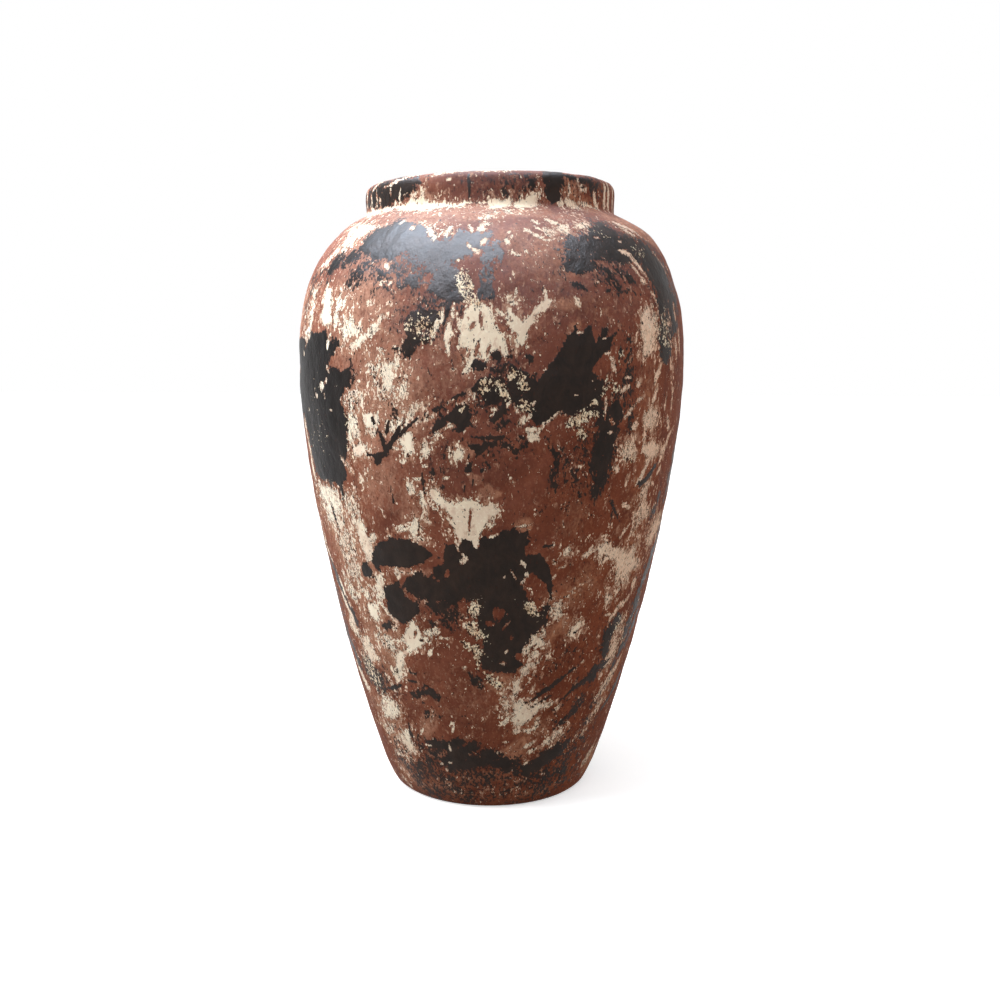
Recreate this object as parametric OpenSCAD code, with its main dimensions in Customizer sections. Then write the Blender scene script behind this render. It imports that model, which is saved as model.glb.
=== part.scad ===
// Tall terracotta jar: thrown in sections, luted together with slip, then coated and painted.
// Every piece is a ring turned about the Z axis. The origin is the centre of the base.

/* [Body] */
// Height of the clay, from the base to the lip
jar_h = 600; // [570:1:640]
// Radius of the clay at the widest part of the belly
belly_r = 191; // [180:1:205]
// Height of the widest part above the base
belly_h = 420; // [390:1:440]
// Thickness of the thrown wall, measured square to it
wall = 12; // [9:0.5:15]

/* [Foot] */
// Radius of the clay at the top edge of the floor
foot_r = 105; // [98:0.5:112]
// Thickness of the floor
floor_t = 14; // [12:0.5:18]
// Radius of the rounding under the foot
foot_round = 11; // [8:0.5:14]
// Lean of the wall where it leaves the floor, in degrees from upright
foot_flare = 26; // [22:1:32]
// Height of the coil that seals the corner between floor and wall
coil_h = 11; // [8:0.5:15]
// Width of that coil along the floor
coil_w = 13; // [9:0.5:17]

/* [Neck] */
// Outside radius of the clay neck
neck_r = 122; // [114:1:128]
// Height of the neck, from the shoulder to the lip
neck_h = 30; // [25:0.5:36]
// Thickness of the neck
neck_wall = 12; // [11.5:0.5:15]
// Slope of the shoulder where it meets the neck, in degrees from level
shoulder_slope = 25; // [21:0.5:31]
// Radius of the fillet of slip between shoulder and neck
root_fillet = 5; // [4:0.5:7]
// Radius of the lip's outer rounding
lip_out_round = 6; // [4:0.5:6]
// Radius of the lip's inner rounding
lip_in_round = 5; // [4:0.5:5]

/* [Joints] */
// Height of the joint between the lower and the middle section
waist_joint_h = 170; // [150:1:190]
// Height of the joint between the middle and the belly section
belly_joint_h = 330; // [310:1:350]
// Height of the shoulder section, from its lower joint to the neck
shoulder_h = 90; // [70:1:100]
// Thickness of the slip in each joint
slip = 1.5; // [1:0.25:2]
// Depth of the groove that keys each joint
groove_d = 3; // [2:0.5:4]

/* [Coat] */
// Thickness of the ground coat with its paint
coat = 1; // [0.5:0.25:1.5]
// How far the coat reaches down inside the neck, from the lip
coat_reach = 24; // [18:0.5:26]

/* [Hidden] */
$fn = 128;

clay_red = "#a5593f";
slip_buff = "#c98a6b";
paint_brown = "#7a4030";

// Steps of each curve and of each rounding
low_steps = 26;
high_steps = 22;
round_steps = 6;
// The coat starts this many steps up the rounding under the foot, clear of the ground
coat_start_step = 3;

// Handle lengths of the two wall curves: shares of the height or the width that each one spans
foot_handle_share = 0.11;
belly_low_handle_share = 0.29;
belly_high_handle_share = 0.21;
root_handle_share = 1.12;
// The finger's hollow in the floor coil: handles of its curve, shares of the coil's width and height
coil_handle_share = 0.33;

// Points across a joint: share of the wall's width from outside to inside, share of the groove's depth
key_shares = [[0, 0], [0.3, 0], [0.42, 0.85], [0.5, 1], [0.58, 0.85], [0.7, 0], [1, 0]];

function along(angle) = [cos(angle), sin(angle)];
function reversed(list) = [for (i = [len(list) - 1 : -1 : 0]) list[i]];
// Points and tangents are [radius, height]; this is the outward normal of a curve that climbs
function outward(tangent) = [tangent.y, -tangent.x] / norm(tangent);
function bezier(p, t) =
    pow(1 - t, 3) * p[0] + 3 * pow(1 - t, 2) * t * p[1] + 3 * (1 - t) * t * t * p[2] + pow(t, 3) * p[3];
function bezier_tangent(p, t) =
    pow(1 - t, 2) * (p[1] - p[0]) + 2 * (1 - t) * t * (p[2] - p[1]) + t * t * (p[3] - p[2]);
// A row of [point, normal] pairs along a curve, from one share of it to another
function stations(p, steps, first = 0) =
    [for (i = [first : steps]) let (t = i / steps) [bezier(p, t), outward(bezier_tangent(p, t))]];
// A row of [point, normal] pairs along an arc, whose normals point away from its centre or into it
function arc(centre, radius, from, to, side = 1) =
    [for (i = [0 : round_steps]) let (a = from + (to - from) * i / round_steps)
        [centre + radius * along(a), side * along(a)]];

// Foot: an arc that leaves the ground level and meets the wall's lean below the floor's top edge
flare_angle = 90 - foot_flare;
foot_arc_h = foot_round * (1 - sin(foot_flare));
foot_arc_x = foot_r - (floor_t - foot_arc_h) * tan(foot_flare) - foot_round * cos(foot_flare);
foot_side = arc([foot_arc_x, foot_round], foot_round, -90, -foot_flare);

// Neck root: the corner of shoulder and neck, and the fillet of slip that fills it
root_z = jar_h - neck_h;
root = [neck_r, root_z];
shoulder_joint_z = root_z - shoulder_h;
fillet_run = root_fillet * (1 - sin(shoulder_slope)) / cos(shoulder_slope);
fillet_low = root + fillet_run * along(-shoulder_slope);
fillet_centre = root + [root_fillet, fillet_run];
fillet_side = arc(fillet_centre, root_fillet, 270 - shoulder_slope, 180, -1);

// Wall: two curves that meet upright at the belly
rise = belly_h - floor_t;
fall = fillet_low.y - belly_h;
low_curve = [
    [foot_r, floor_t],
    [foot_r, floor_t] + rise * foot_handle_share * along(flare_angle),
    [belly_r, belly_h - rise * belly_low_handle_share],
    [belly_r, belly_h]
];
high_curve = [
    [belly_r, belly_h],
    [belly_r, belly_h + fall * belly_high_handle_share],
    fillet_low + (belly_r - neck_r) * root_handle_share * along(-shoulder_slope),
    fillet_low
];
wall_side = concat(stations(low_curve, low_steps), stations(high_curve, high_steps, 1));

// Neck and lip
neck_in_r = neck_r - neck_wall;
lip_outer = arc([neck_r - lip_out_round, jar_h - lip_out_round], lip_out_round, 0, 90);
lip_inner = arc([neck_in_r + lip_in_round, jar_h - lip_in_round], lip_in_round, 90, 180);

// Outside and inside of the clay, each a row of points that only climbs
outside = concat(
    [for (s = foot_side) s[0]],
    [for (s = wall_side) s[0]],
    [root],
    [for (s = lip_outer) s[0]]
);
inset = [for (s = wall_side) s[0] - wall * s[1]];
foot_in = [foot_r - wall / cos(foot_flare), floor_t];
inset_end = inset[len(inset) - 1];
root_in = [neck_in_r, inset_end.y + (inset_end.x - neck_in_r) * tan(shoulder_slope)];
inside = concat([foot_in], inset, [root_in], [for (s = reversed(lip_inner)) s[0]]);

function by_height(points) = [for (p = points) [p.y, p.x]];
outside_by_height = by_height(outside);
inside_by_height = by_height(inside);
function outer_r(z) = lookup(z, outside_by_height);
function inner_r(z) = lookup(z, inside_by_height);
function between(points, low, high) = [for (p = points) if (p.y > low && p.y < high) p];

// The line across the wall at one height, from outside to inside, with the key's groove in it
function joint_line(z, depth = groove_d) =
    [for (k = key_shares) [outer_r(z) + (inner_r(z) - outer_r(z)) * k[0], z - depth * k[1]]];

// The wall between two heights, keyed at the bottom, and at the top too unless it is the lip
module wall_ring(low, high, high_depth = groove_d) {
    rotate_extrude()
        polygon(concat(
            joint_line(low),
            between(inside, low, high),
            reversed(joint_line(high, high_depth)),
            reversed(between(outside, low, high))
        ));
}

module floor_slab() {
    color(clay_red)
        rotate_extrude()
            polygon(concat([[0, 0]], [for (s = foot_side) s[0]], joint_line(floor_t), [[0, floor_t]]));
}

// A coil pressed into the inside corner, its free face hollowed by a finger
module floor_coil() {
    coil_top = floor_t + coil_h;
    top = [inner_r(coil_top), coil_top];
    hollow = [
        foot_in - [coil_w, 0],
        foot_in - [coil_w * coil_handle_share, 0],
        foot_in + [0, coil_h * coil_handle_share],
        top
    ];
    color(clay_red)
        rotate_extrude()
            polygon(concat(
                [foot_in],
                between(inside, floor_t, coil_top),
                reversed([for (s = stations(hollow, round_steps)) s[0]])
            ));
}

module lower_wall() {
    color(clay_red) wall_ring(floor_t + slip, waist_joint_h);
}

module middle_wall() {
    color(clay_red) wall_ring(waist_joint_h + slip, belly_joint_h);
}

module belly_wall() {
    color(clay_red) wall_ring(belly_joint_h + slip, shoulder_joint_z);
}

module shoulder_wall() {
    color(clay_red) wall_ring(shoulder_joint_z + slip, root_z);
}

module neck_collar() {
    color(clay_red) wall_ring(root_z + slip, jar_h, 0);
}

module slip_floor() {
    color(slip_buff) wall_ring(floor_t, floor_t + slip);
}

module slip_waist() {
    color(slip_buff) wall_ring(waist_joint_h, waist_joint_h + slip);
}

module slip_belly() {
    color(slip_buff) wall_ring(belly_joint_h, belly_joint_h + slip);
}

module slip_shoulder() {
    color(slip_buff) wall_ring(shoulder_joint_z, shoulder_joint_z + slip);
}

// The slip under the neck also fills the corner outside it
module slip_neck() {
    color(slip_buff)
        rotate_extrude()
            polygon(concat(
                joint_line(root_z),
                reversed(joint_line(root_z + slip)),
                reversed([for (s = fillet_side) s[0]])
            ));
}

// One skin from the foot, over the lip, to a line inside the neck
module painted_coat() {
    foot_part = [for (i = [coat_start_step : round_steps]) foot_side[i]];
    lowest_inside = [[neck_in_r, jar_h - coat_reach], along(180)];
    skin = concat(foot_part, wall_side, fillet_side, lip_outer, lip_inner, [lowest_inside]);
    color(paint_brown)
        rotate_extrude()
            polygon(concat([for (s = skin) s[0]], reversed([for (s = skin) s[0] + coat * s[1]])));
}

floor_slab();
floor_coil();
lower_wall();
middle_wall();
belly_wall();
shoulder_wall();
neck_collar();
slip_floor();
slip_waist();
slip_belly();
slip_shoulder();
slip_neck();
painted_coat();
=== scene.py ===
"""The looks of a tall terracotta jar with a distressed paint finish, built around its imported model."""
from collections import namedtuple

import bmesh
import bpy
import numpy as np
from mathutils import Euler, Matrix, Vector


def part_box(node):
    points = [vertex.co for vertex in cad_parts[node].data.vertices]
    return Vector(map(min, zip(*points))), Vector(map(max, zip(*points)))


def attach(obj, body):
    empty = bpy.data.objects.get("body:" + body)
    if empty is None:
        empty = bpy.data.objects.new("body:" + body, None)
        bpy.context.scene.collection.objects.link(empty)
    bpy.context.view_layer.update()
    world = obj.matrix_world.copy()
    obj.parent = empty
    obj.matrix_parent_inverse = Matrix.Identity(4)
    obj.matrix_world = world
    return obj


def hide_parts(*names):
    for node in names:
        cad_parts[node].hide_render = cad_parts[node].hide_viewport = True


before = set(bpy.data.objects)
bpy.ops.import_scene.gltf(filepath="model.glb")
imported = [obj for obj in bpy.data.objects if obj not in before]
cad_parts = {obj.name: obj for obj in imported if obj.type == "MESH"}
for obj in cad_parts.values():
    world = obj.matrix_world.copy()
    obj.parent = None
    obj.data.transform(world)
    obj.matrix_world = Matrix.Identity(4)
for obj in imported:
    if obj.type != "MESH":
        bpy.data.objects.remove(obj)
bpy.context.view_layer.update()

MM = 0.001
TAU = 2 * np.pi

# The camera stood in front of the jar, a little above its middle, tipped down.
PHOTO_PIXELS = 1000
SENSOR = 36.0
LENS = 39.45
FOCAL = LENS / SENSOR * PHOTO_PIXELS
CAMERA_PLACE = (9.3 * MM, -1119.2 * MM, 446.8 * MM)
CAMERA_TIP = np.radians(8.0)
CAMERA_ROLL = np.radians(0.3)

# The jar's height, its neck's radius and root, and the coat's thickness, read from the model.
JAR_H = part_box("painted_coat")[1].z
NECK_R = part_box("neck_collar")[1].x
ROOT_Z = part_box("shoulder_wall")[1].z
COAT_T = JAR_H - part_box("neck_collar")[1].z

# The lip isn't level: it climbs to the right. The neck sits a little to the left, and the right shoulder is
# fuller. The whole is slightly oval, three-lobed and uneven.
RIM_SLOPE = np.tan(np.radians(1.2))
NECK_SHIFT = 1.8 * MM
SHOULDER_BULGE = 4.5 * MM
SHOULDER_LIFT = 3.0 * MM
OVAL = 0.7 * MM
THREE_LOBED = 0.35 * MM
UNEVEN = 0.6 * MM
# Where these set in and end, as shares of the jar's height or as heights at the neck's root. The base stays
# true.
UNEVEN_FROM = (0, 0.25)
BULGE_FROM = (0.84, 0.93)
LIFT_FROM = (0.87, 0.935)
LIFT_ENDS = (ROOT_Z - 2 * MM, ROOT_Z + 10 * MM)
NECK_FROM = (ROOT_Z - 22 * MM, ROOT_Z - 2 * MM)
RIGHT_SIDE = (0.4, 1)


# Small numerical tools

# How many plane waves make one noise, and what brings their sum to about -1 to 1
WAVES = 26
SPREAD = 1.4


def ramp(low, high, value):
    """0 below low, 1 above high, and a smooth step between them."""
    t = np.clip((value - low) / (high - low), 0, 1)
    return t * t * (3 - 2 * t)


def waves(points, wavelength, seed):
    """Smooth noise over points, about -1 to 1: plane waves of about one wavelength in random directions."""
    rng = np.random.default_rng(seed)
    heading = rng.normal(size=(WAVES, 3))
    heading /= np.linalg.norm(heading, axis=1)[:, None]
    rate = TAU / (wavelength * rng.uniform(0.7, 1.4, WAVES))
    phase = rng.uniform(0, TAU, WAVES)
    total = np.zeros(len(points))
    for h, r, p in zip(heading, rate, phase):
        total += np.sin(points @ (h * r) + p)
    return total / np.sqrt(WAVES) / SPREAD


# Outlines of the turned pieces

Outline = namedtuple("Outline", "points closed")
WELD = 1e-6


def meridian(node):
    """The outline of a turned node, (radius, height) row by row, where the XZ plane cuts its mesh."""
    mesh = bmesh.new()
    mesh.from_mesh(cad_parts[node].data)
    bmesh.ops.remove_doubles(mesh, verts=mesh.verts, dist=WELD)
    everything = mesh.verts[:] + mesh.edges[:] + mesh.faces[:]
    cut = bmesh.ops.bisect_plane(mesh, geom=everything, dist=WELD, plane_co=(0, 0, 0), plane_no=(0, 1, 0))
    links = {}
    for edge in cut["geom_cut"]:
        if isinstance(edge, bmesh.types.BMEdge) and min(v.co.x for v in edge.verts) > -WELD:
            a, b = ((round(v.co.x, 6), round(v.co.z, 6)) for v in edge.verts)
            links.setdefault(a, set()).add(b)
            links.setdefault(b, set()).add(a)
    mesh.free()
    ends = sorted(p for p in links if len(links[p]) == 1)
    here = ends[0] if ends else min(links)
    row = [here]
    seen = {here}
    while True:
        ways = sorted(links[here] - seen)
        if not ways:
            break
        here = ways[0]
        seen.add(here)
        row.append(here)
    return Outline(np.array(row), not ends)


def smooth_path(points, step):
    """A smooth curve through the points, cut at even steps of about the given length."""
    gaps = np.linalg.norm(np.diff(points, axis=0), axis=1)
    at = np.concatenate([[0], np.cumsum(gaps)])
    slope = np.diff(points, axis=0) / gaps[:, None]
    tangent = np.empty_like(points)
    tangent[0] = slope[0]
    tangent[-1] = slope[-1]
    before, after = gaps[:-1, None], gaps[1:, None]
    tangent[1:-1] = (after * slope[:-1] + before * slope[1:]) / (before + after)
    places = np.linspace(0, at[-1], max(2, round(at[-1] / step) + 1))
    i = np.clip(np.searchsorted(at, places, side="right") - 1, 0, len(gaps) - 1)
    h = gaps[i][:, None]
    t = (places - at[i])[:, None] / h
    return ((1 + 2 * t) * (1 - t) ** 2 * points[i] + t * (1 - t) ** 2 * h * tangent[i]
            + t * t * (3 - 2 * t) * points[i + 1] + t * t * (t - 1) * h * tangent[i + 1])


def cut_path(points, step):
    """The same path with its corners kept and each long side cut into steps of about the given length."""
    rows = [points[:1]]
    for a, b in zip(points[:-1], points[1:]):
        n = max(1, round(np.linalg.norm(b - a) / step))
        rows.append(a + (b - a) * np.arange(1, n + 1)[:, None] / n)
    return np.concatenate(rows)


def side_of(path, closed):
    """The left-hand unit normal at each point of a path of (radius, height)."""
    if closed:
        along = np.roll(path, -1, axis=0) - np.roll(path, 1, axis=0)
    else:
        along = np.gradient(path, axis=0)
    along /= np.linalg.norm(along, axis=1)[:, None]
    return np.stack([-along[:, 1], along[:, 0]], 1)


def angles(segments, crowd=0.0):
    """Angles about the axis, from the front (-Y) round; crowd packs them closer there."""
    even = TAU * np.arange(segments) / segments
    return even - crowd * np.sin(even) - np.pi / 2


def turned(path, angle):
    """The points of a path turned about Z: one array of shape (rows, segments, 3)."""
    r = path[:, :1]
    z = np.repeat(path[:, 1:], len(angle), axis=1)
    return np.stack([r * np.cos(angle), r * np.sin(angle), z], 2)


def ring_faces(rows, segments, closed):
    """The quads between turned rows, and between the last and the first where the outline is closed."""
    last = rows if closed else rows - 1
    i, j = np.meshgrid(np.arange(last), np.arange(segments), indexing="ij")
    up, on = (i + 1) % rows, (j + 1) % segments
    quads = np.stack([i * segments + j, i * segments + on, up * segments + on, up * segments + j], 2)
    return quads.reshape(-1, 4)


def make_mesh(name, points, faces, attributes=None, crease=None):
    """A smooth-shaded object from arrays, with one float attribute for each named array."""
    mesh = bpy.data.meshes.new(name)
    mesh.from_pydata(points.reshape(-1, 3).tolist(), [], np.asarray(faces).tolist())
    for key, values in (attributes or {}).items():
        layer = mesh.attributes.new(key, "FLOAT", "POINT")
        layer.data.foreach_set("value", values.astype(np.float32).ravel())
    mesh.shade_smooth()
    if crease:
        mesh.set_sharp_from_angle(angle=crease)
    mesh.update()
    piece = bpy.data.objects.new(name, mesh)
    bpy.context.scene.collection.objects.link(piece)
    return piece


# Shape of the hand-thrown body, common to every piece

def settle(points):
    """Moves points as the clay moved: a little out of round, uneven, and with the lip off level."""
    flat = points.reshape(-1, 3)
    r = np.hypot(flat[:, 0], flat[:, 1])
    angle = np.arctan2(flat[:, 1], flat[:, 0])
    height = flat[:, 2] / JAR_H
    grow = ramp(*UNEVEN_FROM, height)
    off_round = (OVAL * np.cos(2 * angle + 0.6 + 1.5 * height) + THREE_LOBED * np.cos(3 * angle - 1.1)
                 + UNEVEN * waves(flat, 0.22, 5))
    flat_out = flat.copy()
    share = grow * off_round / np.maximum(r, 20 * MM)
    flat_out[:, 0] += flat[:, 0] * share
    flat_out[:, 1] += flat[:, 1] * share
    flat_out[:, 2] += RIM_SLOPE * flat[:, 0] * ramp(ROOT_Z, JAR_H, flat[:, 2])
    below_neck = 1 - ramp(*NECK_FROM, flat[:, 2])
    flat_out[:, 0] -= NECK_SHIFT * (1 - below_neck)
    right = ramp(*RIGHT_SIDE, np.cos(angle))
    flat_out[:, 0] += SHOULDER_BULGE * right * ramp(*BULGE_FROM, height) * below_neck
    near_root = ramp(*LIFT_FROM, height) * (1 - ramp(*LIFT_ENDS, flat[:, 2]))
    flat_out[:, 2] += SHOULDER_LIFT * right * near_root
    return flat_out.reshape(points.shape)


# Paint, placed on the photograph and laid on the jar's side. Its kinds are black, cream, speck (granules of
# both), brown (the ground, bared again) and tan (a thin pale wash). Places and sizes are pixels of the
# photograph.

Stroke = namedtuple("Stroke", "kind x y long wide tilt strength soft")
Patch = namedtuple("Patch", "kind strength soft corners")


def strokes(kind, *rows):
    """Oval strokes: middle, half length, half width, and then tilt in degrees, strength and softness."""
    usual = (90, 1.0, 0.35)
    return [Stroke(kind, *row, *usual[len(row) - 4:]) for row in rows]


def patch(kind, strength, soft, *numbers):
    """A patch of paint whose edge fades over soft pixels; its outline is given as x, y, x, y and so on."""
    return Patch(kind, strength, soft, list(zip(numbers[::2], numbers[1::2])))


NECK = [
    *strokes("tan", (470, 214, 110, 7, 0, 0.8, 0.5), (573, 190, 12, 8, 90, 0.8),
        (590, 214, 22, 5, -20, 0.9)),
    patch("black", 0.95, 4, 372, 187, 385, 182, 400, 178, 419, 177, 421, 182, 412, 193, 404, 200, 397, 206,
        386, 209, 372, 213, 365, 205, 368, 192),
    patch("black", 1.15, 2, 543, 172, 562, 172, 564, 182, 563, 200, 556, 203, 548, 200, 544, 190),
    *strokes("black", (520, 183, 22, 11, 0, 0.5, 0.6), (506, 190, 9, 4, 90, 0.6, 0.5), (469, 186, 13, 1.5),
        (592, 188, 13, 8, 90, 0.62, 0.5), (576, 178, 20, 3, -10, 0.8, 0.5), (532, 184, 8, 4, 70, 0.6, 0.5)),
    *strokes("cream", (368, 199, 13, 1.3, 90, 0.75), (372, 201, 11, 1.2, 90, 0.7),
        (377, 199, 12, 1.2, 90, 0.62), (382, 202, 8, 1.2, 90, 0.6), (391, 190, 8, 0.9, 88, 0.8),
        (400, 194, 6, 0.9, 80, 0.8), (380, 201, 3, 1.5), (449, 179, 3, 1.8, 0, 1.2),
        (408, 177.5, 26, 1.2, 9, 0.8), (455, 171.5, 30, 1.3, 5, 0.8), (500, 169.5, 24, 1.2, 1, 0.7),
        (380, 181, 10, 1.2, 26, 0.8)),
    patch("cream", 1.3, 1.5, 366, 213, 380, 209, 392, 206, 401, 205, 407, 202, 412, 198, 419, 199, 422, 191,
        425, 199, 431, 203, 441, 202, 443, 197, 446, 203, 453, 205, 465, 201, 477, 203, 462, 207, 444, 208,
        428, 211, 410, 212, 400, 211, 390, 211, 378, 214, 366, 218),
    patch("cream", 1.3, 1.2, 488, 199, 494, 197, 501, 200, 510, 198, 513, 201, 510, 206, 500, 208, 491, 209,
        487, 205),
    patch("cream", 1.3, 1.2, 514, 203, 521, 199, 528, 196, 536, 194, 541, 191, 542, 197, 538, 200, 541, 206,
        530, 208, 520, 209, 514, 207),
    patch("cream", 1.0, 1.5, 563, 194, 568, 199, 575, 201, 578, 206, 582, 210, 573, 209, 566, 206),
    *strokes("cream", (414, 195, 7, 1.6, 42, 0.9), (508, 211, 4, 5, 90, 0.6), (549, 204, 5, 2.2, -50, 1.1),
        (561, 203, 4, 3, 30, 1.1), (483, 202, 3, 5, 90, 0.7), (588, 206, 11, 2, -20),
        (595, 202, 9, 2, -70, 0.9), (597, 209, 11, 2, -20), (604, 199, 15, 1.4),
        (608, 200, 16, 1.5, 90, 1.1), (612, 202, 15, 1.2), (570, 188, 8, 1.2, 90, 0.75),
        (583, 188, 5, 3, 90, 0.7), (578, 183, 4, 1.2, 90, 0.8)),
]

SHOULDER = [
    *strokes("tan", (400, 228, 60, 16, 20, 0.8, 0.6), (540, 250, 62, 26, -12, 0.62, 0.6),
        (624, 221, 28, 8, -33), (590, 300, 60, 16, 0, 0.3, 0.6), (362, 300, 46, 40, 60, 0.75, 0.6)),
    patch("black", 1.3, 3, 358, 250, 364, 238, 372, 232, 380, 227, 390, 225, 400, 221, 412, 224, 425, 225,
        428, 234, 436, 236, 446, 246, 441, 254, 438, 262, 430, 263, 420, 259, 412, 252, 404, 250, 400, 255,
        391, 260, 376, 258, 366, 253),
    patch("black", 1.05, 4, 440, 241, 450, 237, 458, 230, 468, 230, 476, 232, 490, 231, 492, 239, 487, 247,
        480, 253, 470, 254, 460, 259, 450, 263, 437, 264),
    patch("black", 1.0, 4, 430, 262, 446, 264, 458, 268, 464, 284, 468, 302, 450, 304, 436, 298, 428, 290,
        432, 276, 420, 270),
    patch("black", 1.0, 3, 401, 277, 412, 274, 419, 280, 420, 288, 412, 292, 404, 287),
    *strokes("black", (336, 264, 13, 7, 55, 0.85, 0.5), (326, 282, 16, 4, 65, 0.5, 0.6),
        (354, 254, 11, 8, 40, 0.8, 0.5), (372, 269, 20, 8, 0, 0.5, 0.6), (424, 262, 20, 8, 0, 0.75, 0.6),
        (490, 254, 12, 9, 60, 0.8, 0.5), (487, 272, 18, 7, 85, 0.7, 0.5), (484, 292, 12, 7, 70, 0.95, 0.4),
        (404, 266, 18, 3, -15, 0.6), (446, 310, 22, 10, 30, 0.6, 0.6), (424, 300, 18, 8, -20, 0.45, 0.6)),
    patch("cream", 0.95, 2, 350, 229, 360, 224, 372, 222, 375, 225, 381, 225, 374, 231, 364, 235, 356, 242,
        346, 248, 340, 250),
    patch("cream", 1.2, 1, 426, 226, 432, 226, 434, 232, 437, 238, 434, 243, 431, 236, 427, 232),
    patch("cream", 0.95, 1.5, 443, 231, 446, 227, 452, 226, 452, 231, 448, 236, 444, 236),
    patch("cream", 0.85, 1.5, 482, 218, 488, 214, 495, 208, 498, 212, 490, 218, 486, 222),
    *strokes("cream", (402, 223, 4, 2.2, 30, 1.1), (412, 228, 4, 2.4, -30, 1.1), (422, 222, 5, 1.5, -15),
        (471, 228, 4, 2, -70, 1.1), (482, 229, 4, 2.8, 0, 1.1), (484, 240, 4.5, 3, 45, 1.1),
        (469, 245, 3.5, 2, -40, 1.1), (475, 250, 4.5, 2.6, -20, 1.1), (387, 267, 4, 2, -60, 1.1),
        (486, 225, 8, 2, 20, 0.8), (336, 252, 20, 4, 50, 0.65), (458, 259, 2, 1.5, 0),
        (392, 283, 3, 1.2, 45, 0.9), (384, 283, 6, 2, 20, 0.6)),
    # Flecks on the bare ground above the middle
    *strokes("cream", (507, 242, 3.6, 2.2, -70, 1.2), (513, 252, 4, 2, -40, 1.1), (518, 254, 3, 1.3, 0),
        (526, 250, 4, 1.5, -40), (528, 230, 4, 1.8, 0, 1.1), (535, 236, 6, 1.4, -25),
        (541, 238, 2.6, 2, 0, 1.2), (509, 233, 2, 1.5, 0), (511, 237, 2, 1.4, 0),
        (552, 221, 7, 2.4, -12, 1.1), (536, 222, 4, 1.2, -30, 0.9), (537, 227, 5, 1.2, -40, 0.8),
        (550, 232, 7, 4, 0, 0.6), (548, 240, 4, 1.4, 0, 0.9), (560, 238, 5, 1.4, 0)),
    patch("cream", 1.0, 1.5, 556, 229, 561, 223, 568, 226, 572, 231, 575, 235, 567, 235, 561, 235),
    # Right shoulder: sponged black, with pale flecks that run down it
    patch("black", 0.9, 5, 562, 238, 574, 233, 584, 229, 592, 221, 604, 222, 618, 232, 634, 236, 646, 244,
        640, 262, 630, 268, 612, 264, 598, 262, 590, 272, 578, 277, 564, 271, 560, 262, 565, 252),
    patch("black", 1.0, 3, 634, 236, 648, 244, 662, 262, 672, 285, 676, 305, 660, 300, 652, 284, 644, 268,
        640, 252),
    *strokes("black", (590, 217, 9, 4, -30, 0.8), (557, 250, 5, 2, 0, 0.8),
        (608, 272, 16, 4, -45, 0.7, 0.5), (580, 285, 10, 4, -30, 0.7, 0.5),
        (614, 286, 13, 3, -40, 0.6, 0.5), (624, 276, 16, 4, -50, 0.6, 0.5)),
    patch("cream", 1.1, 1.2, 574, 227, 578, 222, 584, 223, 587, 228, 581, 230),
    *strokes("cream", (627, 228, 10, 1.8, -33), (630, 232, 7, 1.4, -30, 1.1), (619, 225, 5, 1.5, -35),
        (626, 252, 6, 2.2, -15, 1.1), (633, 261, 7, 1.6, -58), (640, 268, 9, 1.8, -62, 1.1),
        (635, 270, 8, 1.4, -62), (643, 281, 3.5, 2.8, 0), (654, 294, 3.5, 1.6, -50),
        (663, 301, 3, 1.8, -20, 1.1), (657, 300, 2, 1.4, 0), (596, 238, 3, 1.4, 0, 1.1),
        (586, 233, 2.5, 1.4, -60), (620, 241, 1.8, 1.4, 0), (660, 262, 12, 1, -62, 0.6)),
    *strokes("speck", (467, 284, 18, 6, -72, 0.8, 0.4), (474, 300, 10, 5, -50, 0.7, 0.4),
        (594, 229, 14, 6, -20, 0.3), (622, 228, 12, 4, -33, 0.5), (637, 250, 9, 5, -50, 0.45)),
]

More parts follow.
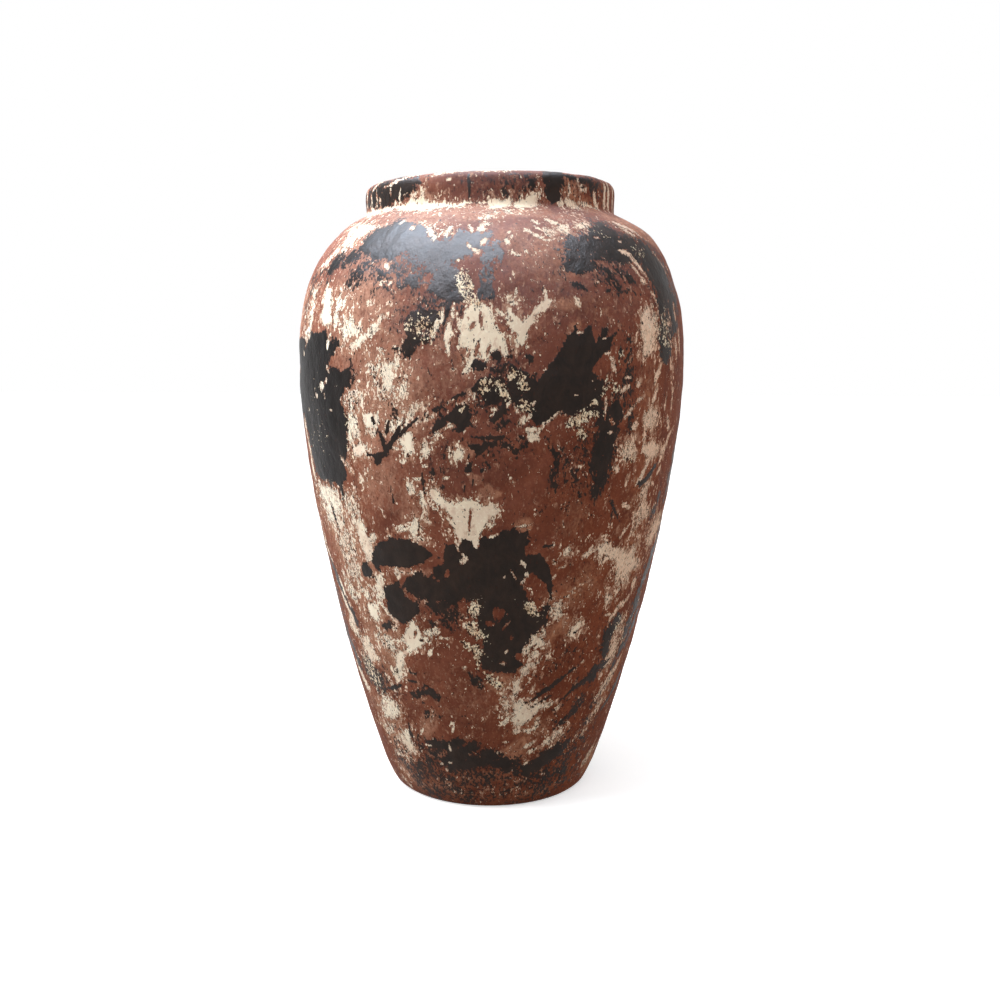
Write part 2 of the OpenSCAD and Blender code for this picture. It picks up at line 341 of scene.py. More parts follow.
LEFT = [
    *strokes("tan", (352, 345, 30, 30, 90, 0.6, 0.6), (388, 385, 52, 34, 90, 0.85, 0.5),
        (360, 420, 60, 22, 95, 0.7, 0.6), (400, 430, 30, 24, 45, 0.6, 0.6),
        (375, 480, 28, 24, 90, 0.6, 0.6), (345, 540, 60, 24, 104, 0.8, 0.6),
        (440, 345, 40, 22, 90, 0.4, 0.6), (302, 315, 30, 6, 82, 0.9), (410, 500, 40, 14, 90, 0.5, 0.6)),
    patch("cream", 1.15, 1.2, 314, 288, 317, 290, 314, 305, 313, 322, 310, 336, 306, 346, 305, 338,
        308, 324, 311, 306),
    patch("cream", 1.25, 1.4, 325, 288, 332, 288, 331, 300, 333, 320, 329, 326, 322, 324, 319, 318,
        323, 304),
    patch("cream", 0.85, 3, 344, 318, 352, 316, 357, 322, 361, 330, 357, 336, 350, 340, 345, 349, 339, 348,
        342, 338, 340, 328),
    patch("cream", 1.1, 1.5, 349, 346, 356, 340, 364, 333, 375, 331, 379, 328, 372, 337, 365, 342, 360, 347,
        353, 350),
    patch("cream", 1.0, 1.3, 374, 324, 377, 316, 383, 314, 388, 317, 382, 321, 379, 326, 380, 330,
        368, 331),
    *strokes("cream", (338, 308, 18, 4, 86, 0.66, 0.5), (343, 304, 8, 2, 80, 0.9),
        (336, 322, 9, 3, 90, 0.8), (369, 305, 6, 4, 40, 0.5, 0.6), (390, 303, 5, 3, 80, 0.5, 0.6),
        (330, 338, 5, 2, 90, 0.7), (351, 300, 20, 8, 90, 0.3, 0.6)),
    patch("black", 1.4, 1.5, 311, 333, 320, 333, 325, 331, 328, 341, 332, 344, 336, 338, 339, 344, 333, 353,
        329, 360, 327, 367, 334, 367, 340, 373, 350, 368, 352, 378, 345, 391, 339, 399, 341, 406, 346, 414,
        349, 422, 346, 432, 348, 448, 345, 462, 347, 474, 342, 486, 330, 481, 320, 478, 315, 466, 312, 450,
        308, 428, 303, 412, 290, 400, 290, 338, 303, 338, 306, 350),
    *strokes("black", (352, 382, 18, 5, 96, 0.55, 0.6), (332, 486, 14, 7, 0, 0.6, 0.6)),
    *strokes("cream", (328, 346, 5, 2, 80, 1.1), (304, 353, 4, 1.3, 90, 1.1), (328, 371, 4, 1.6, -75, 1.1),
        (322, 385, 5, 3, 50, 0.95), (326, 381, 3, 1.4, 60), (317, 395, 3, 1.5, 90, 0.8),
        (325, 397, 5, 1.3, 90, 0.8), (335, 387, 2.5, 1.3, 40), (309, 409, 2.5, 1.2, 90, 1.1),
        (331, 410, 1.6, 1.2, 0), (309, 440, 26, 2, 98, 0.75), (313, 468, 16, 1.6, 100, 0.95)),
    # Black and pale granules between the two
    patch("black", 1.0, 3, 404, 318, 412, 312, 424, 308, 437, 311, 441, 328, 432, 340, 420, 344, 409, 356,
        401, 359, 400, 348, 406, 336),
    *strokes("brown", (426, 331, 5, 4, 0, 0.9)),
    *strokes("speck", (424, 328, 13, 12, 0, 0.58, 0.4), (408, 322, 8, 4, 70, 0.7),
        (437, 320, 12, 3, 80, 0.6)),
    *strokes("black", (395, 350, 5, 1.6, -10, 1.1)),
    patch("cream", 1.0, 4, 380, 360, 392, 361, 397, 355, 401, 364, 397, 373, 393, 386, 388, 400, 383, 393,
        380, 380),
    *strokes("cream", (385, 382, 32, 22, 90, 0.5, 0.5), (404, 385, 18, 7, 90, 0.52, 0.5),
        (370, 366, 9, 5, 70, 0.6), (356, 401, 15, 10, 60, 0.66, 0.5), (354, 424, 14, 6, 95, 0.85),
        (382, 352, 6, 3, -60, 0.8), (414, 408, 18, 6, 20, 0.6, 0.5), (394, 347, 3, 1, -10)),
    patch("cream", 1.3, 1.3, 362, 415, 370, 412, 378, 414, 380, 420, 374, 427, 366, 428, 362, 422),
    patch("cream", 0.9, 2, 348, 424, 356, 424, 360, 432, 354, 438, 350, 445, 347, 434),
    patch("cream", 1.2, 1.5, 353, 446, 360, 441, 366, 444, 367, 450, 360, 457, 355, 456),
    patch("cream", 1.0, 2, 365, 429, 378, 432, 376, 436, 366, 435),
    patch("cream", 1.25, 1.3, 400, 437, 405, 432, 412, 431, 414, 440, 415, 450, 408, 453, 402, 455,
        404, 447, 399, 443),
    patch("cream", 0.8, 2, 384, 420, 392, 417, 400, 420, 410, 414, 414, 420, 404, 430, 396, 440, 390, 432,
        385, 434),
    *strokes("cream", (425, 449, 8, 6, 60, 0.95), (424, 466, 4, 2, 20, 0.9), (404, 461, 8, 5, 40, 0.6, 0.5),
        (428, 418, 12, 6, 20, 0.75, 0.5), (346, 462, 10, 3, -50, 0.7), (374, 420, 3, 8, 0, 0.9),
        (365, 478, 14, 8, 60, 0.35, 0.6), (396, 450, 4, 2, 40, 0.8)),
    *strokes("black", (373, 420, 4, 1.6, -75, 1.2), (383, 442, 16, 3, 105, 1.1), (378, 458, 8, 4, 60, 1.1),
        (392, 441, 24, 2.2, 57, 1.1), (407, 427, 16, 1.8, 45, 1.1), (394, 414, 7, 5, 80, 0.7),
        (388, 428, 8, 2, 75), (370, 456, 6, 1.6, -20, 0.9)),
    patch("cream", 1.05, 1.5, 430, 438, 436, 431, 441, 430, 439, 438, 434, 444, 430, 444),
    # Below it, strokes that follow the outline
    patch("cream", 0.9, 3, 318, 482, 328, 486, 336, 488, 341, 500, 340, 512, 346, 520, 344, 532, 336, 528,
        330, 520, 324, 508, 320, 496),
    patch("cream", 1.2, 1.6, 351, 516, 360, 518, 366, 530, 371, 542, 377, 556, 373, 563, 366, 561, 361, 547,
        356, 532),
    *strokes("cream", (352, 503, 18, 8, 90, 0.62, 0.5), (345, 548, 28, 11, 104, 0.62, 0.5),
        (352, 565, 26, 9, 104, 0.62, 0.5), (372, 540, 6, 4, 30, 0.8), (420, 480, 6, 3, 0, 0.9),
        (411, 490, 14, 4, -75, 0.8, 0.5), (424, 505, 16, 4, -80, 0.85, 0.5),
        (405, 527, 12, 4, 20, 0.75, 0.5), (388, 536, 5, 2, 20, 0.8), (344, 494, 14, 3, 90, 0.7),
        (326, 540, 22, 3, 106, 0.6)),
    patch("cream", 1.0, 2, 413, 518, 424, 516, 420, 526, 418, 534, 427, 541, 416, 543, 410, 536, 409, 528),
    *strokes("black", (422, 480, 10, 1.4, 92, 1.1), (425, 490, 6, 1.6, 100), (343, 492, 10, 2, 90, 0.8),
        (334, 515, 14, 1.2, 100, 0.8), (391, 488, 6, 1, 100, 0.9), (393, 499, 5, 1, 100, 0.8)),
    *strokes("speck", (318, 430, 50, 14, 92, 0.12, 0.5), (349, 436, 30, 5, 92, 0.45)),
]

CENTRE = [
    *strokes("tan", (470, 345, 34, 20, 80, 0.5, 0.6), (520, 335, 26, 16, 40, 0.4, 0.6), (486, 493, 6, 5, 0),
        (496, 495, 6, 5, 0, 0.8), (475, 478, 7, 5, -30, 0.9), (470, 455, 8, 5, 30, 0.8),
        (527, 526, 8, 7, 0, 1.1), (450, 385, 36, 14, 20, 0.4, 0.6)),
    patch("cream", 1.3, 1.5, 475, 303, 480, 301, 486, 304, 490, 312, 494, 320, 498, 328, 503, 338, 507, 348,
        510, 356, 504, 358, 497, 351, 492, 351, 489, 362, 482, 362, 480, 352, 477, 357, 474, 364, 468, 373,
        465, 368, 469, 358, 470, 350, 465, 348, 458, 345, 459, 330, 462, 318, 464, 311, 469, 307),
    patch("cream", 1.8, 0.5, 506, 308, 511, 309, 516, 316, 522, 323, 530, 315, 537, 307, 543, 302, 550, 299,
        553, 304, 545, 310, 536, 314, 533, 324, 528, 330, 525, 338, 524, 345, 518, 344, 516, 338, 519, 334,
        511, 329, 503, 321, 515, 323),
    patch("cream", 1.15, 1, 507, 301, 515, 298, 516, 306, 511, 306),
    *strokes("cream", (447, 338, 18, 4, 88, 1.1), (442, 318, 9, 2.4, 85, 0.8), (436, 322, 6, 2.2, 80, 0.9),
        (434, 336, 7, 2, 80, 0.8), (453, 312, 9, 2, 90, 0.7), (502, 315, 10, 1.8, -48, 1.1),
        (545, 294, 7, 2, -75, 1.1), (516, 291, 3, 1.6, 80, 1.1), (466, 370, 7, 3, 40, 0.9),
        (452, 368, 3, 1.4, 0, 0.8), (471, 393, 6, 5, 40, 0.8), (528, 347, 3, 1.5, 40),
        (456, 398, 14, 1.8, 28, 0.8), (468, 402, 14, 2, 22, 0.7), (452, 426, 4.5, 3, 0, 1.15)),
    *strokes("brown", (481, 320, 9, 1.6, -82, 1.1), (472, 326, 4, 2.6, 60), (477, 350, 8, 1.8, 80, 0.9),
        (488, 348, 6, 1.6, 80, 0.9), (496, 322, 8, 1.4, -60, 0.5)),
    *strokes("black", (478, 368, 6, 5, 0, 0.9), (497, 354, 6, 4, -70, 0.9), (502, 370, 12, 9, 0, 0.62, 0.6),
        (513, 352, 10, 6, 0, 0.4, 0.6), (530, 357, 6, 3, -60, 0.8), (494, 389, 20, 13, 10, 0.95, 0.4),
        (517, 383, 15, 11, 0, 0.95, 0.4)),
    # The broad black band from the centre up to its bristly end on the right
    patch("black", 1.4, 1.4, 548, 368, 556, 358, 563, 345, 568, 336, 573, 333, 576, 324, 578, 336, 584, 332,
        591, 326, 593, 334, 595, 343, 600, 338, 604, 328, 607, 330, 607, 340, 616, 333, 610, 343, 616, 343,
        606, 352, 598, 360, 596, 374, 603, 384, 603, 396, 600, 404, 598, 416, 586, 411, 572, 415, 556, 412,
        552, 418, 540, 425, 532, 420, 526, 410, 514, 402, 504, 398, 508, 388, 520, 396, 530, 385, 540, 378),
    patch("black", 0.9, 4, 600, 396, 612, 402, 621, 396, 623, 412, 619, 430, 617, 448, 614, 464, 611, 476,
        603, 484, 599, 499, 592, 500, 589, 490, 593, 478, 588, 466, 592, 452, 594, 438, 596, 424),
    patch("black", 1.2, 1.6, 430, 434, 437, 424, 446, 415, 458, 407, 470, 404, 466, 411, 474, 414, 466, 420,
        470, 424, 462, 431, 452, 432, 458, 424, 448, 422, 440, 430),
    patch("black", 1.1, 2, 506, 398, 508, 410, 500, 420, 493, 427, 492, 418, 498, 408),
    patch("black", 1.25, 1.2, 467, 446, 474, 443, 484, 444, 495, 443, 496, 446, 488, 448, 484, 452,
        478, 453, 470, 450),
    *strokes("black", (490, 439, 16, 1.6, 2, 0.9), (507, 446, 7, 3, -30, 0.8), (515, 453, 6, 1.6, -60, 0.8),
        (525, 447, 9, 3, 30, 0.6), (502, 424, 9, 4, 30, 0.7), (469, 468, 6, 3, 60),
        (468, 458, 4, 1.3, 80, 0.9), (488, 465, 6, 1.4, -55, 0.9), (482, 471, 3, 1.4, 60, 0.9),
        (464, 489, 4, 1.2, 80, 0.9), (433, 475, 7, 2, 80, 0.8), (442, 488, 4, 3, 60, 0.7),
        (446, 452, 10, 2.5, 70, 0.6), (473, 484, 4, 1.3, 80, 0.8), (550, 448, 12, 3, -55, 0.7),
        (556, 474, 22, 5, 82, 0.62, 0.6), (500, 450, 44, 18, 0, 0.32, 0.6),
        (440, 468, 24, 12, 70, 0.34, 0.6), (576, 462, 40, 15, 90, 0.4, 0.6), (437, 410, 24, 4, 30, 0.5),
        (460, 396, 14, 2, 30, 0.7), (613, 505, 16, 1.6, -60, 0.8), (611, 518, 8, 1.4, 95, 0.8)),
    patch("cream", 1.2, 1.3, 452, 450, 458, 447, 463, 450, 463, 456, 460, 461, 454, 459),
    *strokes("cream", (446, 477, 4, 1.5, 15, 1.2), (494, 410, 4, 3, 0, 1.1), (492, 416, 2.4, 1.8, 0),
        (509, 405, 4.5, 2, 60, 0.9), (533, 405, 5, 2, 70, 0.9), (523, 421, 6, 3.5, 60, 0.95),
        (516, 410, 6, 2, -60, 0.95), (531, 415, 4, 1.6, 60, 0.9), (552, 417, 11, 1.3, 40, 0.9),
        (531, 430, 6, 4, 0), (534, 437, 7, 4, -20), (542, 425, 8, 1.8, 60, 0.9), (523, 421, 3, 6, 0, 0.6)),
    *strokes("speck", (485, 388, 9, 5, 80, 0.8, 0.3), (502, 390, 12, 6, -60, 0.8, 0.3),
        (495, 383, 9, 4, 0, 0.7), (514, 375, 9, 4, 10, 0.85, 0.3), (522, 385, 10, 5, -75, 0.85, 0.3),
        (526, 406, 9, 6, -40, 0.7, 0.4), (478, 400, 8, 2, 20, 0.7), (462, 408, 6, 2.5, 60, 0.6)),
    # The second flower, with its slit
    patch("cream", 1.6, 1.0, 430, 487, 436, 490, 442, 497, 448, 503, 455, 505, 460, 502, 467, 500, 473, 502,
        478, 501, 483, 507, 492, 503, 495, 508, 499, 510, 493, 515, 488, 521, 484, 529, 480, 535, 478, 541,
        479, 547, 473, 552, 467, 543, 462, 541, 457, 540, 455, 532, 452, 526, 446, 520, 453, 520, 448, 512,
        443, 507, 436, 503, 431, 498),
    *strokes("cream", (457, 545, 6, 1.8, -60, 1.1), (491, 524, 9, 3, 80, 0.75), (494, 537, 7, 1.6, 10, 1.1),
        (500, 533, 6, 1.3, 15), (522, 526, 6, 2, 10), (436, 509, 7, 1.6, -25, 0.8),
        (427, 520, 8, 4, -50, 0.5), (490, 543, 5, 1.2, 70, 0.7)),
    *strokes("brown", (470, 520, 13, 1.3, 86, 1.4), (470.5, 512, 4, 1.7, 90, 1.3)),
    # Right of the middle: pale flecks around the black
    *strokes("brown", (603, 368, 11, 7, 60), (620, 362, 8, 4, 60, 0.7)),
    *strokes("black", (620, 352, 9, 1.8, 80, 0.8), (629, 356, 9, 1.5, 60, 0.8),
        (626, 384, 24, 9, 72, 0.6, 0.6), (630, 415, 18, 6, 90, 0.5, 0.6), (628, 338, 7, 1.5, -30, 0.7)),
    *strokes("cream", (607, 354, 3.5, 1.8, 0, 1.1), (612, 358, 4, 1.5, -20, 1.1),
        (613, 366, 6, 1.8, -65, 1.1), (606, 407, 11, 1.4, 92), (625, 388, 6, 2.6, 35),
        (629, 378, 3.5, 1.8, 0, 1.1), (640, 382, 5, 2, 60, 0.9), (630, 409, 11, 2, 55, 0.75),
        (635, 425, 3, 3, 0, 0.9), (577, 396, 2.8, 1.6, 0, 1.1), (593, 380, 2, 1.5),
        (577, 302, 6, 2.5, -68, 1.1), (580, 334, 4, 1.6, 10), (604, 338, 2.4, 1.4, 0),
        (558, 416, 8, 2, 35, 0.6), (596, 390, 3, 1.3, 90, 0.8), (612, 421, 5, 2, -60, 0.7),
        (610, 433, 4, 1.6, 20, 0.9)),
    *strokes("tan", (566, 304, 14, 7, 0, 0.9), (574, 328, 9, 5, 50, 0.8)),
    patch("speck", 0.9, 2, 578, 411, 586, 408, 600, 410, 599, 417, 590, 419, 586, 425, 578, 431, 567, 428,
        563, 420, 572, 416),
    *strokes("speck", (581, 434, 7, 4, -30, 0.8), (595, 402, 5, 4, 0, 0.9), (617, 388, 8, 4, -60, 0.6),
        (606, 390, 12, 4, 80, 0.6), (621, 359, 9, 3, 80, 0.55)),
]

RIGHT = [
    *strokes("tan", (651, 400, 70, 10, 87, 0.42, 0.6), (640, 480, 60, 11, 82, 0.4, 0.6),
        (575, 520, 34, 16, 90, 0.35, 0.6), (628, 560, 40, 14, 84, 0.5, 0.6),
        (574, 592, 30, 16, 20, 0.6, 0.6)),
    patch("black", 1.15, 2, 655, 284, 668, 285, 675, 300, 677, 322, 673, 345, 668, 363, 662, 363, 660, 352,
        657, 335, 661, 318, 657, 300),
    patch("cream", 0.95, 2, 641, 316, 645, 307, 650, 305, 656, 316, 659, 330, 655, 342, 654, 352, 650, 356,
        645, 356, 640, 350, 643, 340, 639, 332),
    patch("cream", 0.85, 2, 643, 412, 650, 409, 658, 412, 657, 425, 650, 431, 644, 424),
    patch("cream", 1.0, 2, 644, 444, 652, 441, 660, 445, 658, 455, 652, 459, 645, 456, 641, 450),
    patch("cream", 0.72, 2, 621, 442, 634, 439, 637, 450, 634, 459, 626, 462, 619, 455),
    patch("cream", 0.9, 1.5, 641, 486, 645, 484, 646, 494, 647, 504, 650, 512, 648, 518, 643, 522, 639, 515,
        640, 500),
    patch("cream", 0.95, 1.5, 657, 516, 662, 511, 661, 524, 656, 534, 651, 543, 646, 549, 646, 540,
        650, 530, 653, 522),
    patch("cream", 1.0, 2, 599, 548, 604, 540, 608, 541, 611, 549, 618, 546, 626, 551, 635, 545, 634, 555,
        639, 560, 637, 567, 630, 573, 622, 578, 618, 585, 614, 579, 616, 568, 612, 560, 606, 558, 597, 556),
    patch("cream", 1.1, 1.2, 562, 548, 568, 546, 571, 551, 569, 557, 565, 554),
    *strokes("cream", (650, 420, 24, 5, 88, 0.56, 0.5), (644, 500, 34, 4.5, 82, 0.56, 0.5),
        (630, 570, 26, 8, 80, 0.62, 0.5), (600, 552, 14, 8, 90, 0.5, 0.5), (668, 320, 30, 5, 92, 0.45, 0.5),
        (618, 640, 34, 5, 70, 0.5, 0.5), (590, 720, 30, 5, 62, 0.5, 0.5), (674, 312, 9, 1.3, 92, 0.9),
        (676, 348, 10, 1.5, 95), (679, 340, 12, 1.2, 92, 0.8), (657, 374, 11, 2, 68),
        (655, 395, 9, 1.8, 70, 0.95), (640, 398, 6, 2, 30, 0.9), (668, 424, 8, 1.6, -72),
        (672, 398, 15, 1.0, 88, 0.9), (667, 443, 14, 1.6, 62), (661, 455, 12, 1.5, 66, 0.9),
        (658, 470, 7, 1.5, 70, 0.9), (617, 468, 4.5, 3.2, -50, 1.1), (645, 468, 15, 1.6, 66, 0.95),
        (640, 478, 9, 1.3, 60, 0.8), (636, 514, 5, 2, 50, 0.9), (626, 505, 6, 1.8, -40, 0.85),
        (625, 531, 9, 1.3, 62, 0.8), (633, 527, 12, 1.3, 84, 0.8), (581, 466, 3.5, 2, -20, 0.8),
        (586, 556, 4.5, 3, 30), (591, 551, 5, 1.6, 50, 0.9), (552, 545, 5, 2.2, 20, 1.1),
        (634, 583, 7, 2.4, 80, 0.85), (627, 480, 7, 2, 90, 0.6), (665, 402, 10, 0.9, 84, 0.85),
        (650, 560, 22, 2, 76, 0.5), (672, 370, 24, 3, 92, 0.3)),
    *strokes("black", (673, 455, 36, 5, 78, 0.8, 0.4), (649, 476, 12, 2, 50, 1.2),
        (643, 482, 6, 2.6, 30, 1.1), (656, 505, 20, 3, 78, 0.6), (652, 555, 50, 3, 75, 0.85, 0.4),
        (680, 425, 22, 3, 86, 0.8), (548, 545, 5, 2, 12, 1.2)),
    *strokes("speck", (666, 334, 20, 5, 92, 0.62), (656, 322, 20, 4, 95, 0.5), (627, 451, 10, 8, 80, 0.5)),
    # Lower right: a dark wedge, and pale streaks beside it
    patch("black", 1.1, 2, 605, 630, 612, 622, 620, 612, 622, 624, 614, 634, 611, 646, 605, 660, 600, 652,
        603, 640),
    patch("cream", 1.05, 1.2, 605, 595, 611, 593, 613, 598, 610, 602, 609, 606, 605, 602),
    patch("cream", 1.15, 1, 567, 635, 570, 629, 575, 625, 580, 619, 582, 624, 578, 631, 575, 636, 570, 637),
    *strokes("cream", (617, 592, 5, 1.8, 60), (616, 610, 10, 2.2, 60), (625, 600, 8, 1.6, 62, 0.7),
        (607, 614, 3.5, 1.6, 0), (620, 630, 18, 4, 68, 0.6, 0.5), (612, 650, 12, 3.4, 80, 0.9),
        (611, 676, 20, 2.4, 68, 0.75), (604, 684, 18, 2.6, 67, 0.85), (606, 663, 5, 3, 30, 0.8),
        (597, 706, 8, 2.4, 75, 0.85), (588, 757, 10, 3, 65, 0.75), (596, 745, 7, 1.2, 60, 0.7),
        (555, 563, 3.5, 1.5, -50), (561, 568, 5, 1.6, 20), (553, 579, 3.5, 1.3, 40, 0.9),
        (566, 596, 14, 1.4, 20, 0.6), (575, 588, 12, 1.2, 20, 0.5), (583, 662, 2, 1.5, 80)),
    *strokes("black", (575, 632, 2, 1.6, 0, 1.2), (626, 640, 34, 3, 72, 0.7), (632, 612, 24, 4, 74, 0.75),
        (596, 671, 11, 6, 60, 0.75, 0.5), (606, 661, 6, 1.3, 40), (612, 690, 26, 2, 68, 0.7)),
    *strokes("tan", (588, 762, 13, 5, 70), (614, 672, 30, 5, 68, 0.5)),
    *strokes("speck", (619, 624, 12, 4, 68, 0.55), (616, 650, 16, 4, 74, 0.4)),
]

